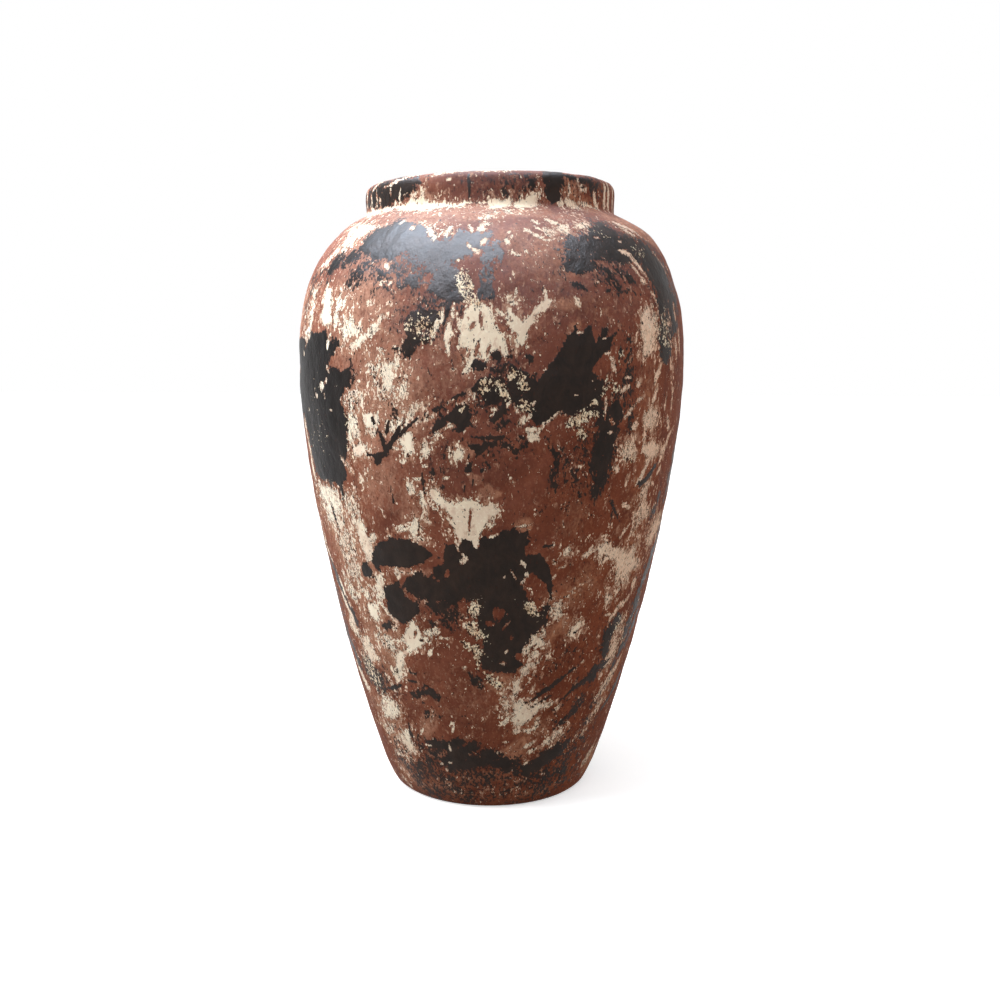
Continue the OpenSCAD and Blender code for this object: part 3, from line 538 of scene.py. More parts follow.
LOW = [
    *strokes("tan", (366, 600, 60, 18, 106, 0.75, 0.6), (385, 645, 34, 22, 100, 0.7, 0.6),
        (372, 630, 12, 8, 60, 0.8), (428, 722, 15, 8, 60, 0.9), (392, 722, 34, 14, 108, 0.7, 0.6),
        (518, 748, 13, 8, 30), (504, 681, 14, 8, 0, 0.9), (530, 725, 22, 16, 0, 0.5, 0.6),
        (425, 600, 14, 8, 0, 0.6), (470, 700, 60, 30, 0, 0.25, 0.6), (408, 572, 22, 5, 0, 0.8),
        (556, 630, 14, 10, 60, 0.8)),
    patch("black", 1.7, 1, 374, 556, 376, 548, 381, 543, 390, 540, 397, 539, 406, 541, 414, 543, 421, 547,
        426, 552, 431, 556, 425, 560, 416, 563, 408, 568, 402, 566, 393, 566, 385, 564, 378, 566, 374, 561),
    patch("black", 1.7, 1, 384, 590, 390, 585, 397, 582, 401, 590, 404, 597, 411, 602, 417, 604, 419, 611,
        414, 617, 410, 621, 404, 623, 398, 620, 392, 613, 388, 606, 386, 600),
    patch("black", 1.2, 2, 403, 586, 408, 578, 415, 574, 420, 571, 424, 577, 432, 580, 446, 581, 466, 582,
        466, 598, 454, 605, 440, 600, 426, 600, 414, 597, 408, 592),
    patch("black", 1.6, 1, 444, 553, 447, 547, 453, 543, 457, 549, 461, 557, 464, 566, 468, 582, 450, 582,
        438, 580, 432, 576, 433, 569, 440, 566, 446, 562, 443, 557),
    patch("black", 1.6, 1.2, 462, 541, 469, 541, 473, 549, 480, 549, 480, 541, 485, 538, 491, 540, 497, 535,
        505, 532, 514, 530, 519, 534, 527, 531, 526, 540, 530, 541, 524, 546, 525, 556, 541, 554, 549, 566,
        552, 582, 551, 596, 544, 608, 536, 616, 526, 610, 500, 606, 480, 600, 466, 600, 458, 582, 457, 553),
    patch("black", 1.3, 1.6, 474, 594, 486, 600, 505, 600, 524, 598, 532, 612, 540, 612, 547, 606, 553, 604,
        546, 617, 548, 622, 540, 630, 533, 637, 527, 645, 521, 654, 523, 664, 516, 672, 505, 672, 492, 670,
        483, 668, 481, 655, 485, 642, 479, 628, 480, 616, 477, 604),
    patch("brown", 1.1, 1.5, 532, 571, 540, 577, 546, 585, 549, 596, 545, 605, 538, 612, 531, 607, 527, 598,
        522, 590, 524, 580),
    patch("brown", 0.95, 1.2, 443, 568, 449, 567, 451, 573, 449, 578, 444, 578),
    patch("brown", 1.0, 2, 492, 609, 497, 605, 503, 607, 508, 614, 502, 618, 499, 624, 494, 618),
    *strokes("brown", (489, 623, 6, 4, -30, 0.9), (479, 597, 7, 3, 20, 0.5), (506, 626, 7, 1.8, 50, 0.7),
        (518, 655, 5, 4, 0, 0.9), (511, 637, 3, 2, 90, 0.6), (478, 588, 6, 3, 50, 0.5),
        (440, 606, 14, 4, -35, 0.4)),
    *strokes("black", (438, 606, 14, 7, -30, 0.75, 0.5), (448, 612, 12, 6, -30, 0.7, 0.5),
        (436, 626, 9, 2.5, -40, 0.8), (447, 625, 8, 3, -45, 0.7), (342, 588, 44, 3, 107, 0.9, 0.4),
        (353, 646, 24, 3, 108, 0.85, 0.4), (377, 566, 9, 3, -60, 0.9), (476, 680, 10, 6, -60, 0.7, 0.5)),
    patch("black", 1.25, 1.2, 361, 563, 366, 562, 370, 568, 374, 574, 375, 580, 369, 579, 364, 574),
    patch("black", 0.95, 1.5, 376, 619, 380, 623, 388, 621, 395, 622, 390, 629, 382, 630),
    # Cream on the left of it
    patch("cream", 1.0, 1.5, 374, 577, 381, 574, 387, 581, 384, 590, 383, 599, 376, 598, 376, 587),
    patch("cream", 1.2, 1.2, 366, 606, 372, 602, 379, 604, 380, 616, 377, 621, 370, 617),
    patch("cream", 1.0, 2, 361, 632, 368, 636, 372, 644, 378, 652, 379, 660, 370, 661, 364, 655),
    patch("cream", 1.3, 1.2, 411, 619, 415, 620, 418, 628, 422, 636, 431, 641, 424, 645, 416, 649, 410, 653,
        404, 658, 403, 668, 402, 676, 400, 685, 395, 682, 393, 674, 396, 664, 396, 654, 402, 651, 408, 648,
        404, 643, 400, 640, 404, 632, 409, 627),
    patch("cream", 0.95, 2, 381, 694, 386, 692, 391, 698, 398, 702, 401, 711, 399, 719, 393, 720, 386, 717,
        382, 708),
    patch("cream", 1.0, 2, 396, 738, 402, 731, 408, 727, 411, 736, 414, 745, 418, 754, 409, 755, 405, 746),
    *strokes("cream", (388, 612, 12, 1.5, -50, 0.95), (384, 606, 9, 1.4, -50, 0.85),
        (392, 618, 6, 1.4, -35, 0.95), (347, 606, 20, 2, 109, 0.9), (343, 590, 16, 1.5, 107, 0.85),
        (355, 628, 14, 3.5, 110, 0.8), (390, 645, 17, 9, 115, 0.62, 0.5), (431, 632, 10, 5, 10, 0.8, 0.5),
        (444, 639, 5, 1.6, 0), (430, 654, 5, 2, 72, 1.1), (396, 628, 8, 4, 60, 0.6),
        (352, 590, 20, 6, 104, 0.62, 0.5), (365, 590, 10, 5, -40, 0.62), (364, 680, 13, 2.2, 112, 0.9),
        (390, 728, 11, 7, 110, 0.6, 0.5), (412, 747, 9, 4, 112, 0.6), (404, 757, 12, 2.5, -10, 0.6),
        (422, 731, 5, 1.5, 60, 0.8), (453, 731, 5, 1.4, 70), (452, 724, 4, 1.4, 40),
        (432, 715, 10, 1.6, 75, 0.6), (372, 588, 9, 1.5, -45, 0.9), (397, 573, 7, 3, 80, 0.7),
        (408, 572, 12, 2, 10, 0.6)),
    *strokes("black", (376, 674, 20, 8, 112, 0.85, 0.5), (394, 688, 13, 1.5, 28),
        (414, 682, 5, 1.3, 0, 0.8), (427, 686, 6, 1.4, 22, 0.9), (424, 703, 3, 2, 0, 0.8),
        (411, 730, 9, 1.7, 90, 0.9), (427, 715, 5, 3, 80, 0.7), (422, 640, 2.5, 1.6, 10, 1.1),
        (397, 672, 5, 1.5, 70, 0.8), (412, 673, 5, 2, -20, 0.7), (385, 690, 6, 1.5, 60, 0.8),
        (439, 716, 5, 2, 0, 0.5), (464, 716, 3, 2, 0, 0.6)),
    *strokes("brown", (415, 632, 3, 1.6, 80, 0.9)),
    patch("black", 0.95, 1.5, 411, 693, 418, 690, 424, 691, 430, 688, 436, 692, 441, 697, 438, 702,
        432, 699, 428, 695, 420, 697, 413, 697),
    *strokes("speck", (375, 673, 20, 7, 112, 0.62, 0.4), (397, 672, 8, 4, 90, 0.5)),
    # Pale granules and flakes around the black column
    patch("cream", 1.0, 1, 459, 549, 465, 552, 468, 556, 470, 562, 463, 565, 457, 564, 461, 557),
    patch("cream", 1.1, 1, 517, 564, 522, 559, 526, 563, 527, 570, 524, 569, 521, 565),
    patch("cream", 1.1, 1.2, 534, 633, 540, 636, 546, 642, 541, 648, 538, 644, 532, 646, 528, 652, 523, 655,
        524, 648, 530, 643),
    patch("cream", 0.85, 1.5, 520, 668, 526, 661, 533, 663, 540, 658, 547, 654, 540, 664, 532, 669,
        526, 676, 521, 677),
    patch("cream", 0.75, 2, 547, 613, 552, 605, 556, 599, 562, 602, 563, 612, 560, 621, 552, 620),
    patch("cream", 1.05, 1.2, 512, 682, 519, 680, 520, 688, 517, 697, 516, 704, 511, 700, 513, 690),
    patch("cream", 0.9, 1.5, 500, 700, 503, 693, 508, 700, 510, 706, 508, 714, 503, 712, 500, 706),
    patch("cream", 1.1, 1.5, 513, 703, 520, 701, 528, 701, 539, 699, 541, 706, 537, 712, 532, 719, 524, 723,
        516, 725, 510, 721, 514, 714, 512, 708),
    patch("cream", 0.78, 1.5, 542, 749, 547, 738, 552, 732, 560, 728, 565, 725, 562, 733, 558, 740,
        550, 745),
    *strokes("cream", (526, 575, 3.5, 2.2, 80, 1.1), (522, 583, 4, 1.6, 50), (512, 572, 4, 1.3, -60, 0.9),
        (515, 577, 5, 1.3, -65, 0.9), (504, 577, 3, 1.6, 80, 0.9), (534, 608, 5, 2.2, -60),
        (475, 611, 4.5, 3.4, 30), (465, 626, 3.5, 3, -50), (535, 656, 5, 3.4, 10),
        (544, 631, 9, 1.5, -65, 0.85), (548, 704, 10, 4, 20, 0.66, 0.5), (506, 722, 9, 2, 40, 0.85),
        (516, 731, 4.5, 3, 0, 0.95), (527, 731, 7, 2.2, -15, 0.85), (536, 726, 9, 2.5, 75, 0.65),
        (505, 743, 3.5, 1.4, 10, 0.9), (528, 744, 9, 2, 28, 0.8), (532, 750, 5, 2.4, 30),
        (497, 753, 3, 1.4, 0, 0.9), (464, 667, 3, 2.4, 0), (525, 764, 5, 1.5, 45, 0.9),
        (538, 765, 4, 2, 0, 0.8), (520, 781, 6, 2.4, 10, 0.9), (543, 774, 5, 1.5, -30, 0.7),
        (503, 663, 5, 3, 0, 0.7), (530, 680, 9, 1, 60, 0.6), (557, 708, 5, 2, 60, 0.7),
        (506, 652, 3, 1.5, 60, 0.9), (533, 689, 6, 1.4, 70, 0.6)),
    patch("speck", 0.9, 1.5, 468, 603, 474, 599, 480, 606, 480, 614, 474, 618, 467, 614),
    patch("speck", 0.9, 1.5, 463, 625, 468, 621, 474, 619, 480, 628, 487, 636, 484, 641, 478, 640,
        470, 636),
    patch("speck", 0.9, 1.5, 461, 641, 470, 642, 480, 645, 485, 653, 480, 659, 479, 669, 475, 663, 474, 654,
        465, 650),
    patch("speck", 0.9, 1.5, 483, 674, 489, 670, 495, 676, 501, 679, 505, 686, 497, 689, 490, 684,
        485, 680),
    patch("speck", 0.95, 1.2, 522, 602, 529, 600, 534, 603, 537, 609, 541, 616, 535, 617, 528, 613),
    *strokes("speck", (530, 654, 10, 7, 40, 0.4), (488, 681, 12, 7, -20, 0.3)),
    # Hatching, and the dark foot with paler smears on it
    *strokes("black", (548, 690, 28, 1.5, 36, 0.95), (556, 682, 28, 1.5, 34, 0.9),
        (575, 688, 22, 1.8, 38, 0.85), (590, 677, 16, 3, 40, 0.8), (541, 701, 13, 1.3, 32, 0.8),
        (566, 716, 18, 1.7, 50, 0.75), (573, 712, 16, 1.7, 50, 0.7), (579, 700, 12, 4, 45, 0.5),
        (430, 764, 8, 1.5, 60, 0.8)),
    patch("black", 1.05, 2, 422, 744, 434, 739, 448, 741, 460, 738, 466, 741, 458, 748, 466, 745, 475, 742,
        481, 743, 478, 750, 468, 756, 462, 767, 450, 773, 443, 764, 435, 765, 446, 756, 449, 751, 440, 748,
        430, 750),
    patch("black", 0.9, 3, 462, 766, 468, 755, 484, 748, 500, 752, 512, 757, 520, 762, 518, 776, 505, 774,
        490, 766, 476, 768, 468, 776),
    patch("black", 1.0, 2.5, 520, 766, 534, 757, 548, 748, 560, 742, 572, 736, 566, 748, 554, 760, 540, 770,
        524, 780),
    *strokes("black", (489, 786, 96, 15, 0, 0.4, 0.6), (450, 778, 30, 10, 20, 0.5, 0.6),
        (548, 774, 34, 12, -10, 0.48, 0.6), (585, 720, 40, 12, 62, 0.4, 0.6),
        (470, 790, 20, 8, 0, 0.44, 0.6), (560, 660, 26, 16, 30, 0.3, 0.6)),
    *strokes("cream", (429, 746, 3.5, 2, 0, 1.1), (450, 749, 4, 1.4, 90, 1.1), (442, 763, 2, 1.4, 0),
        (450, 763, 3.5, 1.6, 30, 0.9), (447, 769, 2.4, 1.4), (404, 770, 11, 5, 130, 0.4, 0.6),
        (408, 783, 9, 2.4, -50, 0.5), (500, 790, 40, 6, 0, 0.16, 0.6)),
    *strokes("tan", (410, 773, 18, 8, 125, 0.6, 0.6), (480, 779, 30, 6, 0, 0.35, 0.6),
        (545, 790, 30, 6, 10, 0.4, 0.6), (440, 788, 26, 8, -10, 0.4, 0.6), (436, 754, 10, 4, 20, 0.6)),
]

# Thin dark paint wiped over the ground
DIM = [
    *strokes("black", (313, 292, 44, 9, 74, 0.5, 0.6), (395, 275, 44, 22, 0, 0.5, 0.6),
        (360, 272, 26, 14, 60, 0.55, 0.6), (430, 305, 30, 14, 20, 0.5, 0.6),
        (394, 320, 26, 12, 30, 0.36, 0.6), (352, 375, 26, 10, 90, 0.45, 0.6),
        (452, 415, 40, 12, 25, 0.4, 0.6), (515, 396, 36, 18, 20, 0.45, 0.6),
        (600, 400, 24, 50, 90, 0.28, 0.6), (622, 400, 60, 12, 88, 0.36, 0.6),
        (575, 465, 44, 20, 85, 0.36, 0.6), (605, 284, 40, 12, -20, 0.3, 0.6),
        (655, 290, 44, 10, -65, 0.3, 0.6), (500, 360, 34, 10, 0, 0.4, 0.6),
        (444, 608, 26, 10, -25, 0.38, 0.6), (580, 690, 44, 12, 50, 0.26, 0.6),
        (560, 742, 36, 14, 40, 0.36, 0.6), (440, 760, 50, 18, -10, 0.5, 0.6),
        (490, 782, 110, 26, 0, 0.44, 0.4), (415, 762, 40, 22, 110, 0.6, 0.6),
        (560, 772, 44, 22, 60, 0.55, 0.6), (385, 680, 24, 14, 110, 0.45, 0.6),
        (650, 560, 60, 7, 74, 0.4, 0.6), (515, 184, 40, 11, 0, 0.36, 0.6), (590, 190, 24, 14, 0, 0.42, 0.6),
        (330, 590, 70, 8, 106, 0.42, 0.6), (480, 190, 20, 16, 0, 0.2, 0.6)),
]

FRONT = DIM + NECK + SHOULDER + LEFT + CENTRE + RIGHT + LOW

LAYERS = ("cream", "black", "speck", "tan")
# A dry brush leaves soft, broken edges: cream more than black
DRYNESS = {"cream": 0.14, "black": 0.12, "brown": 0.1, "speck": 0.2, "tan": 0.3}
SOFTEST = 0.95
# Above this strength cream only slowly becomes more solid, by this share of the rest
SOLID_FROM = 0.8
SOLID_SHARE = 0.5
# Points that face the camera at least this much are seen
SEEN = 0.02
# Foreshortening is undone down to these shares of a stroke's true width and height
LEAST_WIDTH = 0.5
LEAST_HEIGHT = 0.45
# How far the drawn outlines of patches waver, and how far round one its softness can reach, in pixels
PATCH_WOBBLE = 0.9
REACH = 13
# Half the width of the ragged edge of a patch with no softness, what its softness adds, and the loose paint
# round it
EDGE = {"cream": 1.4, "black": 1.8, "brown": 1.5, "speck": 2.5}
EDGE_SHARE = {"cream": 1.1, "black": 1.4, "brown": 1.2, "speck": 1.0}
LOOSE = {"cream": 0.3, "black": 0.16, "brown": 0.1, "speck": 0.2}
# A stroke this wide wavers fully; a finer one keeps its line, down to this share
FULL_SWAY = 10 * MM
LEAST_SWAY = 0.15
# Where the front's paint gives way to the rest's, in degrees from the front
FRONT_ENDS = (89, 97)
REST_STARTS = (80, 90)
# The front's paint ends on faces that look in towards the axis this much
OUTWARD = (-0.5, -0.1)
# The dark band at the foot, as a share of the way up to the neck, how far its edge wavers, and from where to
# where it fades, as shares of the band
FOOT_BAND = 0.07
FOOT_WAVER = 14 * MM
FOOT_ENDS = (0.5, 1.4)
# How much of the front the back shows
BACK_SHARE = 0.84
# The strokes at random: how high they lie, as shares of the way from the foot into the neck, how many degrees
# from the front they begin, how much they crowd there, and how soft they are
BACK_SEED = 31
BACK_HEIGHTS = (0.1, 0.97)
BACK_FROM = 80
BACK_CROWD = 1.8
BACK_SOFT = (0.2, 0.6)
# Their kind, number, half length and half width in millimetres, strength, and tilt in degrees
BACK_PLAN = (
    ("tan", 30, (20, 50), (10, 24), (0.5, 1.0), (60, 120)),
    ("cream", 26, (14, 30), (6, 14), (0.5, 1.1), (60, 120)),
    ("black", 10, (18, 44), (8, 20), (0.8, 1.4), (20, 150)),
    ("cream", 40, (8, 24), (3, 8), (0.8, 1.3), (50, 130)),
    ("black", 40, (8, 24), (1.5, 5), (0.7, 1.1), (20, 160)),
    ("brown", 10, (10, 20), (6, 12), (0.8, 1.1), (0, 180)),
    ("speck", 24, (10, 24), (6, 14), (0.3, 0.8), (50, 130)))


def camera_turn():
    """The camera's turn: it looks away from the viewer, tipped down and rolled a little."""
    return Euler((np.pi / 2 - CAMERA_TIP, 0, 0)).to_matrix() @ Matrix.Rotation(CAMERA_ROLL, 3, "Z")


def project(points):
    """The photograph's pixel of each point."""
    turn = camera_turn()
    right, up, back = (np.array(turn.col[i]) for i in range(3))
    away = points - np.array(CAMERA_PLACE)
    depth = away @ -back
    return np.stack([PHOTO_PIXELS / 2 + FOCAL * (away @ right) / depth,
                     PHOTO_PIXELS / 2 - FOCAL * (away @ up) / depth], -1)


def depth_in(corners, x, y):
    """How far each point lies inside a drawn outline; below 0 outside it."""
    inside = np.zeros(len(x), bool)
    distance = np.full(len(x), np.inf)
    for (ax, ay), (bx, by) in zip(corners, np.roll(corners, -1, axis=0)):
        gx, gy = bx - ax, by - ay
        t = np.clip(((x - ax) * gx + (y - ay) * gy) / (gx ** 2 + gy ** 2), 0, 1)
        distance = np.minimum(distance, np.hypot(x - ax - t * gx, y - ay - t * gy))
        if gy != 0:
            inside ^= ((ay > y) != (by > y)) & (x < gx * (y - ay) / gy + ax)
    return np.where(inside, distance, -distance)


class JarSide:
    """The jar's painted side, unrolled: angle about the axis and distance along the outline."""

    def __init__(self, path, angle):
        self.path = path
        self.angle = angle
        self.rows, self.segments = len(path), len(angle)
        self.along = np.concatenate([[0], np.cumsum(np.linalg.norm(np.diff(path, axis=0), axis=1))])
        self.points = settle(turned(path, angle))
        self.pixels = project(self.points)
        normal = -side_of(path, False)
        self.normals = turned(normal, angle)
        to_camera = np.array(CAMERA_PLACE) - self.points
        to_camera /= np.linalg.norm(to_camera, axis=2)[..., None]
        self.facing = (to_camera * self.normals).sum(2)

        # What makes the paint look drawn by hand: wavering strokes, outlines and borders
        self.drift_u, self.drift_v = self.drift(11), self.drift(13)
        wobble = [self.waves(9 * MM, seed) + 0.7 * self.waves(19 * MM, seed + 1) for seed in (15, 17)]
        self.drawn_at = self.pixels + PATCH_WOBBLE * np.stack(wobble, 2)
        self.from_front = (angle + np.pi / 2 + np.pi) % TAU - np.pi
        waver = 4 * self.waves(50 * MM, 19) + 3 * self.waves(16 * MM, 20)
        self.sideways = np.degrees(np.abs(self.from_front))[None, :] + waver
        self.in_front = (1 - ramp(*FRONT_ENDS, self.sideways)) * ramp(*OUTWARD, normal[:, 0])[:, None]

    def waves(self, wavelength, seed):
        """Smooth noise over the side's points."""
        return waves(self.points.reshape(-1, 3), wavelength, seed).reshape(self.rows, self.segments)

    def drift(self, seed):
        """How far strokes waver from their line."""
        return 4.5 * MM * self.waves(34 * MM, seed) + 3.0 * MM * self.waves(14 * MM, seed + 1)

    def find(self, x, y):
        """The row and segment whose front-facing point lies nearest to a pixel."""
        gap = np.hypot(self.pixels[..., 0] - x, self.pixels[..., 1] - y)
        gap[self.facing <= SEEN] = np.inf
        return np.unravel_index(np.argmin(gap), gap.shape)

    def offsets(self, row, segment, sway=1.0):
        """How far each point lies from one point: round the jar, and up along its outline."""
        turn = (self.angle - self.angle[segment] + np.pi) % TAU - np.pi
        round_jar = turn[None, :] * self.path[:, :1] + sway * (self.drift_u - self.drift_u[row, segment])
        up = (self.along - self.along[row])[:, None] + sway * (self.drift_v - self.drift_v[row, segment])
        return round_jar, up

    def patch_amount(self, p):
        """How much paint a patch leaves at each point: solid with a ragged edge, and loose round it."""
        low, high = np.min(p.corners, axis=0) - REACH, np.max(p.corners, axis=0) + REACH
        near = np.all((self.drawn_at > low) & (self.drawn_at < high), axis=2) & (self.in_front > 0)
        depth = depth_in(p.corners, *self.drawn_at[near].T)
        edge = EDGE[p.kind] + EDGE_SHARE[p.kind] * p.soft
        solid = solid_amount(p) * ramp(-edge, edge, depth)
        amount = np.zeros(near.shape)
        amount[near] = np.maximum(solid, LOOSE[p.kind] * ramp(-REACH, 0, depth))
        return amount * self.in_front

    def laid_on_jar(self, s, row, segment):
        """A stroke of the photograph at a place on the jar, in metres and without the foreshortening."""
        normal = self.normals[row, segment]
        outward = np.hypot(normal[0], normal[1])
        wider = 1 / max(LEAST_WIDTH, abs(normal[1]) / outward if outward else 0)
        taller = 1 / max(LEAST_HEIGHT, outward)
        scale = np.linalg.norm(self.points[row, segment] - np.array(CAMERA_PLACE)) / FOCAL
        c, d = np.cos(np.radians(s.tilt)), np.sin(np.radians(s.tilt))
        return s._replace(long=s.long * np.hypot(c * wider, d * taller) * scale,
                          wide=s.wide * np.hypot(d * wider, c * taller) * scale,
                          tilt=np.degrees(np.arctan2(d * taller, c * wider)))


def lay(layers, kind, amount):
    """Adds one stroke's paint to the layers, over what is there."""
    bare = 1 - np.minimum(amount, 1)
    if kind == "brown":
        for name in ("black", "cream", "speck"):
            layers[name] *= bare
        return
    layers[kind] = np.maximum(layers[kind], amount)
    if kind == "black":
        layers["speck"] *= 0.3 + 0.7 * bare
        layers["cream"] *= 0.4 + 0.6 * bare
    elif kind == "cream":
        layers["black"] *= bare


def solid_amount(s):
    """The amount of paint in the middle of a stroke or a patch."""
    if s.kind == "cream":
        return min(s.strength, SOLID_FROM) + SOLID_SHARE * max(0, s.strength - SOLID_FROM)
    return s.strength


def amount_of(u, v, s):
    """How much paint one stroke leaves at each offset from its middle."""
    c, d = np.cos(np.radians(s.tilt)), np.sin(np.radians(s.tilt))
    far = np.hypot((u * c + v * d) / s.long, (v * c - u * d) / s.wide)
    soft = min(SOFTEST, s.soft + DRYNESS[s.kind])
    return solid_amount(s) * (1 - ramp(1 - soft, 1 + soft, far))


def paint_front(side, layers):
    """Lays the strokes and patches that the photograph shows."""
    for s in FRONT:
        if isinstance(s, Patch):
            lay(layers, s.kind, side.patch_amount(s))
            continue
        row, segment = side.find(s.x, s.y)
        on_jar = side.laid_on_jar(s, row, segment)
        u, v = side.offsets(row, segment, np.clip(on_jar.wide / FULL_SWAY, LEAST_SWAY, 1))
        lay(layers, s.kind, amount_of(u, v, on_jar) * side.in_front)


def turned_over(side, layers, root, foot):
    """The front's layers for the back: upside down between foot and neck, and drawn out sideways."""
    flipped = np.where(side.along < root, root + foot - side.along, side.along)
    from_row = np.clip(np.round(flipped / side.along[1]).astype(int), 0, side.rows - 1)
    from_back = (side.from_front + TAU) % TAU - np.pi
    order = np.argsort(side.from_front)
    place = np.interp(BACK_SHARE * from_back, side.from_front[order], np.arange(side.segments))
    from_segment = order[np.round(place).astype(int)]
    return {name: values[np.ix_(from_row, from_segment)] for name, values in layers.items()}


def darken_foot(side, layers, foot):
    """Clears a band with a wavering edge at the foot and rubs black over it."""
    height = side.along[:, None] + FOOT_WAVER * side.waves(50 * MM, 33)
    near_foot = 1 - ramp(FOOT_ENDS[0] * foot, FOOT_ENDS[1] * foot, height)
    for name in layers:
        layers[name] *= 1 - near_foot
    layers["black"] += near_foot * (0.55 + 0.3 * side.waves(40 * MM, 32))


def scatter_strokes(side, layers):
    """Adds strokes at random, most of them on the sides, where the photograph shows least."""
    rng = np.random.default_rng(BACK_SEED)
    for kind, count, longs, wides, strengths, tilts in BACK_PLAN:
        for _ in range(count):
            row = int(np.searchsorted(side.along, rng.uniform(*BACK_HEIGHTS) * side.along[-1]))
            which = rng.choice((-1, 1))
            round_jar = which * np.radians(BACK_FROM + (180 - BACK_FROM) * rng.random() ** BACK_CROWD)
            segment = int(np.argmin(np.abs(side.from_front - round_jar)))
            one = Stroke(kind, 0, 0, rng.uniform(*longs) * MM, rng.uniform(*wides) * MM,
                         rng.uniform(*tilts), rng.uniform(*strengths), rng.uniform(*BACK_SOFT))
            u, v = side.offsets(row, segment)
            lay(layers, kind, amount_of(u, v, one))


def paint_rest(side, layers):
    """Paints the sides and the back, which the photograph doesn't show, in the front's manner."""
    in_mouth = side.path[:, 0] < NECK_R - COAT_T
    root = side.along[np.argmin(np.abs(side.path[:, 1] - ROOT_Z) + in_mouth)]
    foot = FOOT_BAND * root
    rest = turned_over(side, layers, root, foot)
    darken_foot(side, rest, foot)
    scatter_strokes(side, rest)
    covered = 1 - ramp(*REST_STARTS, side.sideways)
    for name in layers:
        layers[name][:] = layers[name] * covered + rest[name] * (1 - covered)


# Materials

class Surface:
    """One material, its nodes added a line at a time."""

    def __init__(self, name):
        self.material = bpy.data.materials.new(name)
        self.material.use_nodes = True
        self.tree = self.material.node_tree
        self.shader = self.tree.nodes["Principled BSDF"]
        self.place = self.tree.nodes.new("ShaderNodeTexCoord").outputs["Object"]

    def put(self, socket, value):
        if isinstance(value, bpy.types.NodeSocket):
            self.tree.links.new(value, socket)
        elif value is not None:
            socket.default_value = value

    def math(self, operation, *values, clamp=False):
        node = self.tree.nodes.new("ShaderNodeMath")
        node.operation = operation
        node.use_clamp = clamp
        for socket, value in zip(node.inputs, values):
            self.put(socket, value)
        return node.outputs[0]

    def span(self, value, low, high, to_low=0.0, to_high=1.0, smooth=False, clamp=True):
        """The value brought from one range to another, by default to 0 at low and 1 at high."""
        node = self.tree.nodes.new("ShaderNodeMapRange")
        node.interpolation_type = "SMOOTHSTEP" if smooth else "LINEAR"
        node.clamp = clamp
        for socket, given in zip(node.inputs, (value, low, high, to_low, to_high)):
            self.put(socket, given)
        return node.outputs[0]

    def mix(self, factor, a, b, blend="MIX"):
        node = self.tree.nodes.new("ShaderNodeMix")
        node.data_type = "RGBA"
        node.blend_type = blend
        self.put(node.inputs[0], factor)
        for socket, value in zip(node.inputs[6:8], (a, b)):
            self.put(socket, (*value, 1) if isinstance(value, tuple) else value)
        return node.outputs[2]

    def across(self):
        """The place from left to right, in metres from the jar's axis."""
        node = self.tree.nodes.new("ShaderNodeSeparateXYZ")
        self.put(node.inputs[0], self.place)
        return node.outputs["X"]

    def stretched(self, factors, turn=(0, 0, 0), shift=(0, 0, 0)):
        """The object's own coordinates, turned and then scaled, for grain that runs one way."""
        turned_to = self.tree.nodes.new("ShaderNodeMapping")
        turned_to.inputs["Rotation"].default_value = turn
        turned_to.inputs["Location"].default_value = shift
        self.put(turned_to.inputs["Vector"], self.place)
        scaled = self.tree.nodes.new("ShaderNodeVectorMath")
        scaled.operation = "MULTIPLY"
        self.put(scaled.inputs[0], turned_to.outputs[0])
        scaled.inputs[1].default_value = factors
        return scaled.outputs[0]

    def noise(self, size, detail=2.0, rough=0.5, at=None, distort=0.0, spread=None):
        """Noise with features of about the given size; spread makes its values even from 0 to 1."""
        node = self.tree.nodes.new("ShaderNodeTexNoise")
        self.put(node.inputs["Vector"], at or self.place)
        node.inputs["Scale"].default_value = 1 / size
        node.inputs["Detail"].default_value = detail
        node.inputs["Roughness"].default_value = rough
        node.inputs["Distortion"].default_value = distort
        value = node.outputs["Fac"]
        return self.span(value, 0.5 - spread, 0.5 + spread, clamp=False) if spread else value

    def lines(self, size, detail, rough, at, distort):
        """How far noise is from its middle: 0 along thin winding lines."""
        noise = self.noise(size, detail, rough, at, distort)
        return self.math("ABSOLUTE", self.math("SUBTRACT", noise, 0.5))

    def attribute(self, name):
        node = self.tree.nodes.new("ShaderNodeAttribute")
        node.attribute_name = name
        return node.outputs["Fac"]

    def blend(self, *pairs, contrast=1.0):
        """The weighted sum of (value, weight) pairs; contrast spreads it about its middle."""
        total = None
        for value, weight in pairs:
            part = self.math("MULTIPLY", value, weight)
            total = part if total is None else self.math("ADD", total, part)
        if contrast != 1:
            total = self.math("MULTIPLY_ADD", total, contrast, 0.5 * (1 - contrast))
        return total

    def bump(self, height, distance, strength=1.0, over=None):
        node = self.tree.nodes.new("ShaderNodeBump")
        node.inputs["Strength"].default_value = strength
        node.inputs["Distance"].default_value = distance
        self.put(node.inputs["Height"], height)
        if over is not None:
            self.put(node.inputs["Normal"], over)
        return node.outputs[0]


# The terracotta ground: dark to light, lifted, sunk, flecked and smudged, and warmer and darker on the right:
# partly its own tone, partly painted shade
GROUND = ((0.118, 0.035, 0.019), (0.180, 0.058, 0.032))
LIFTED = (0.285, 0.112, 0.066)
SUNK = (0.058, 0.020, 0.013)
FLECK = (0.40, 0.195, 0.12)
SMUDGE = (0.040, 0.017, 0.012)
WARMER_AND_SHADED_RIGHT = (0.97, 0.80, 0.66)
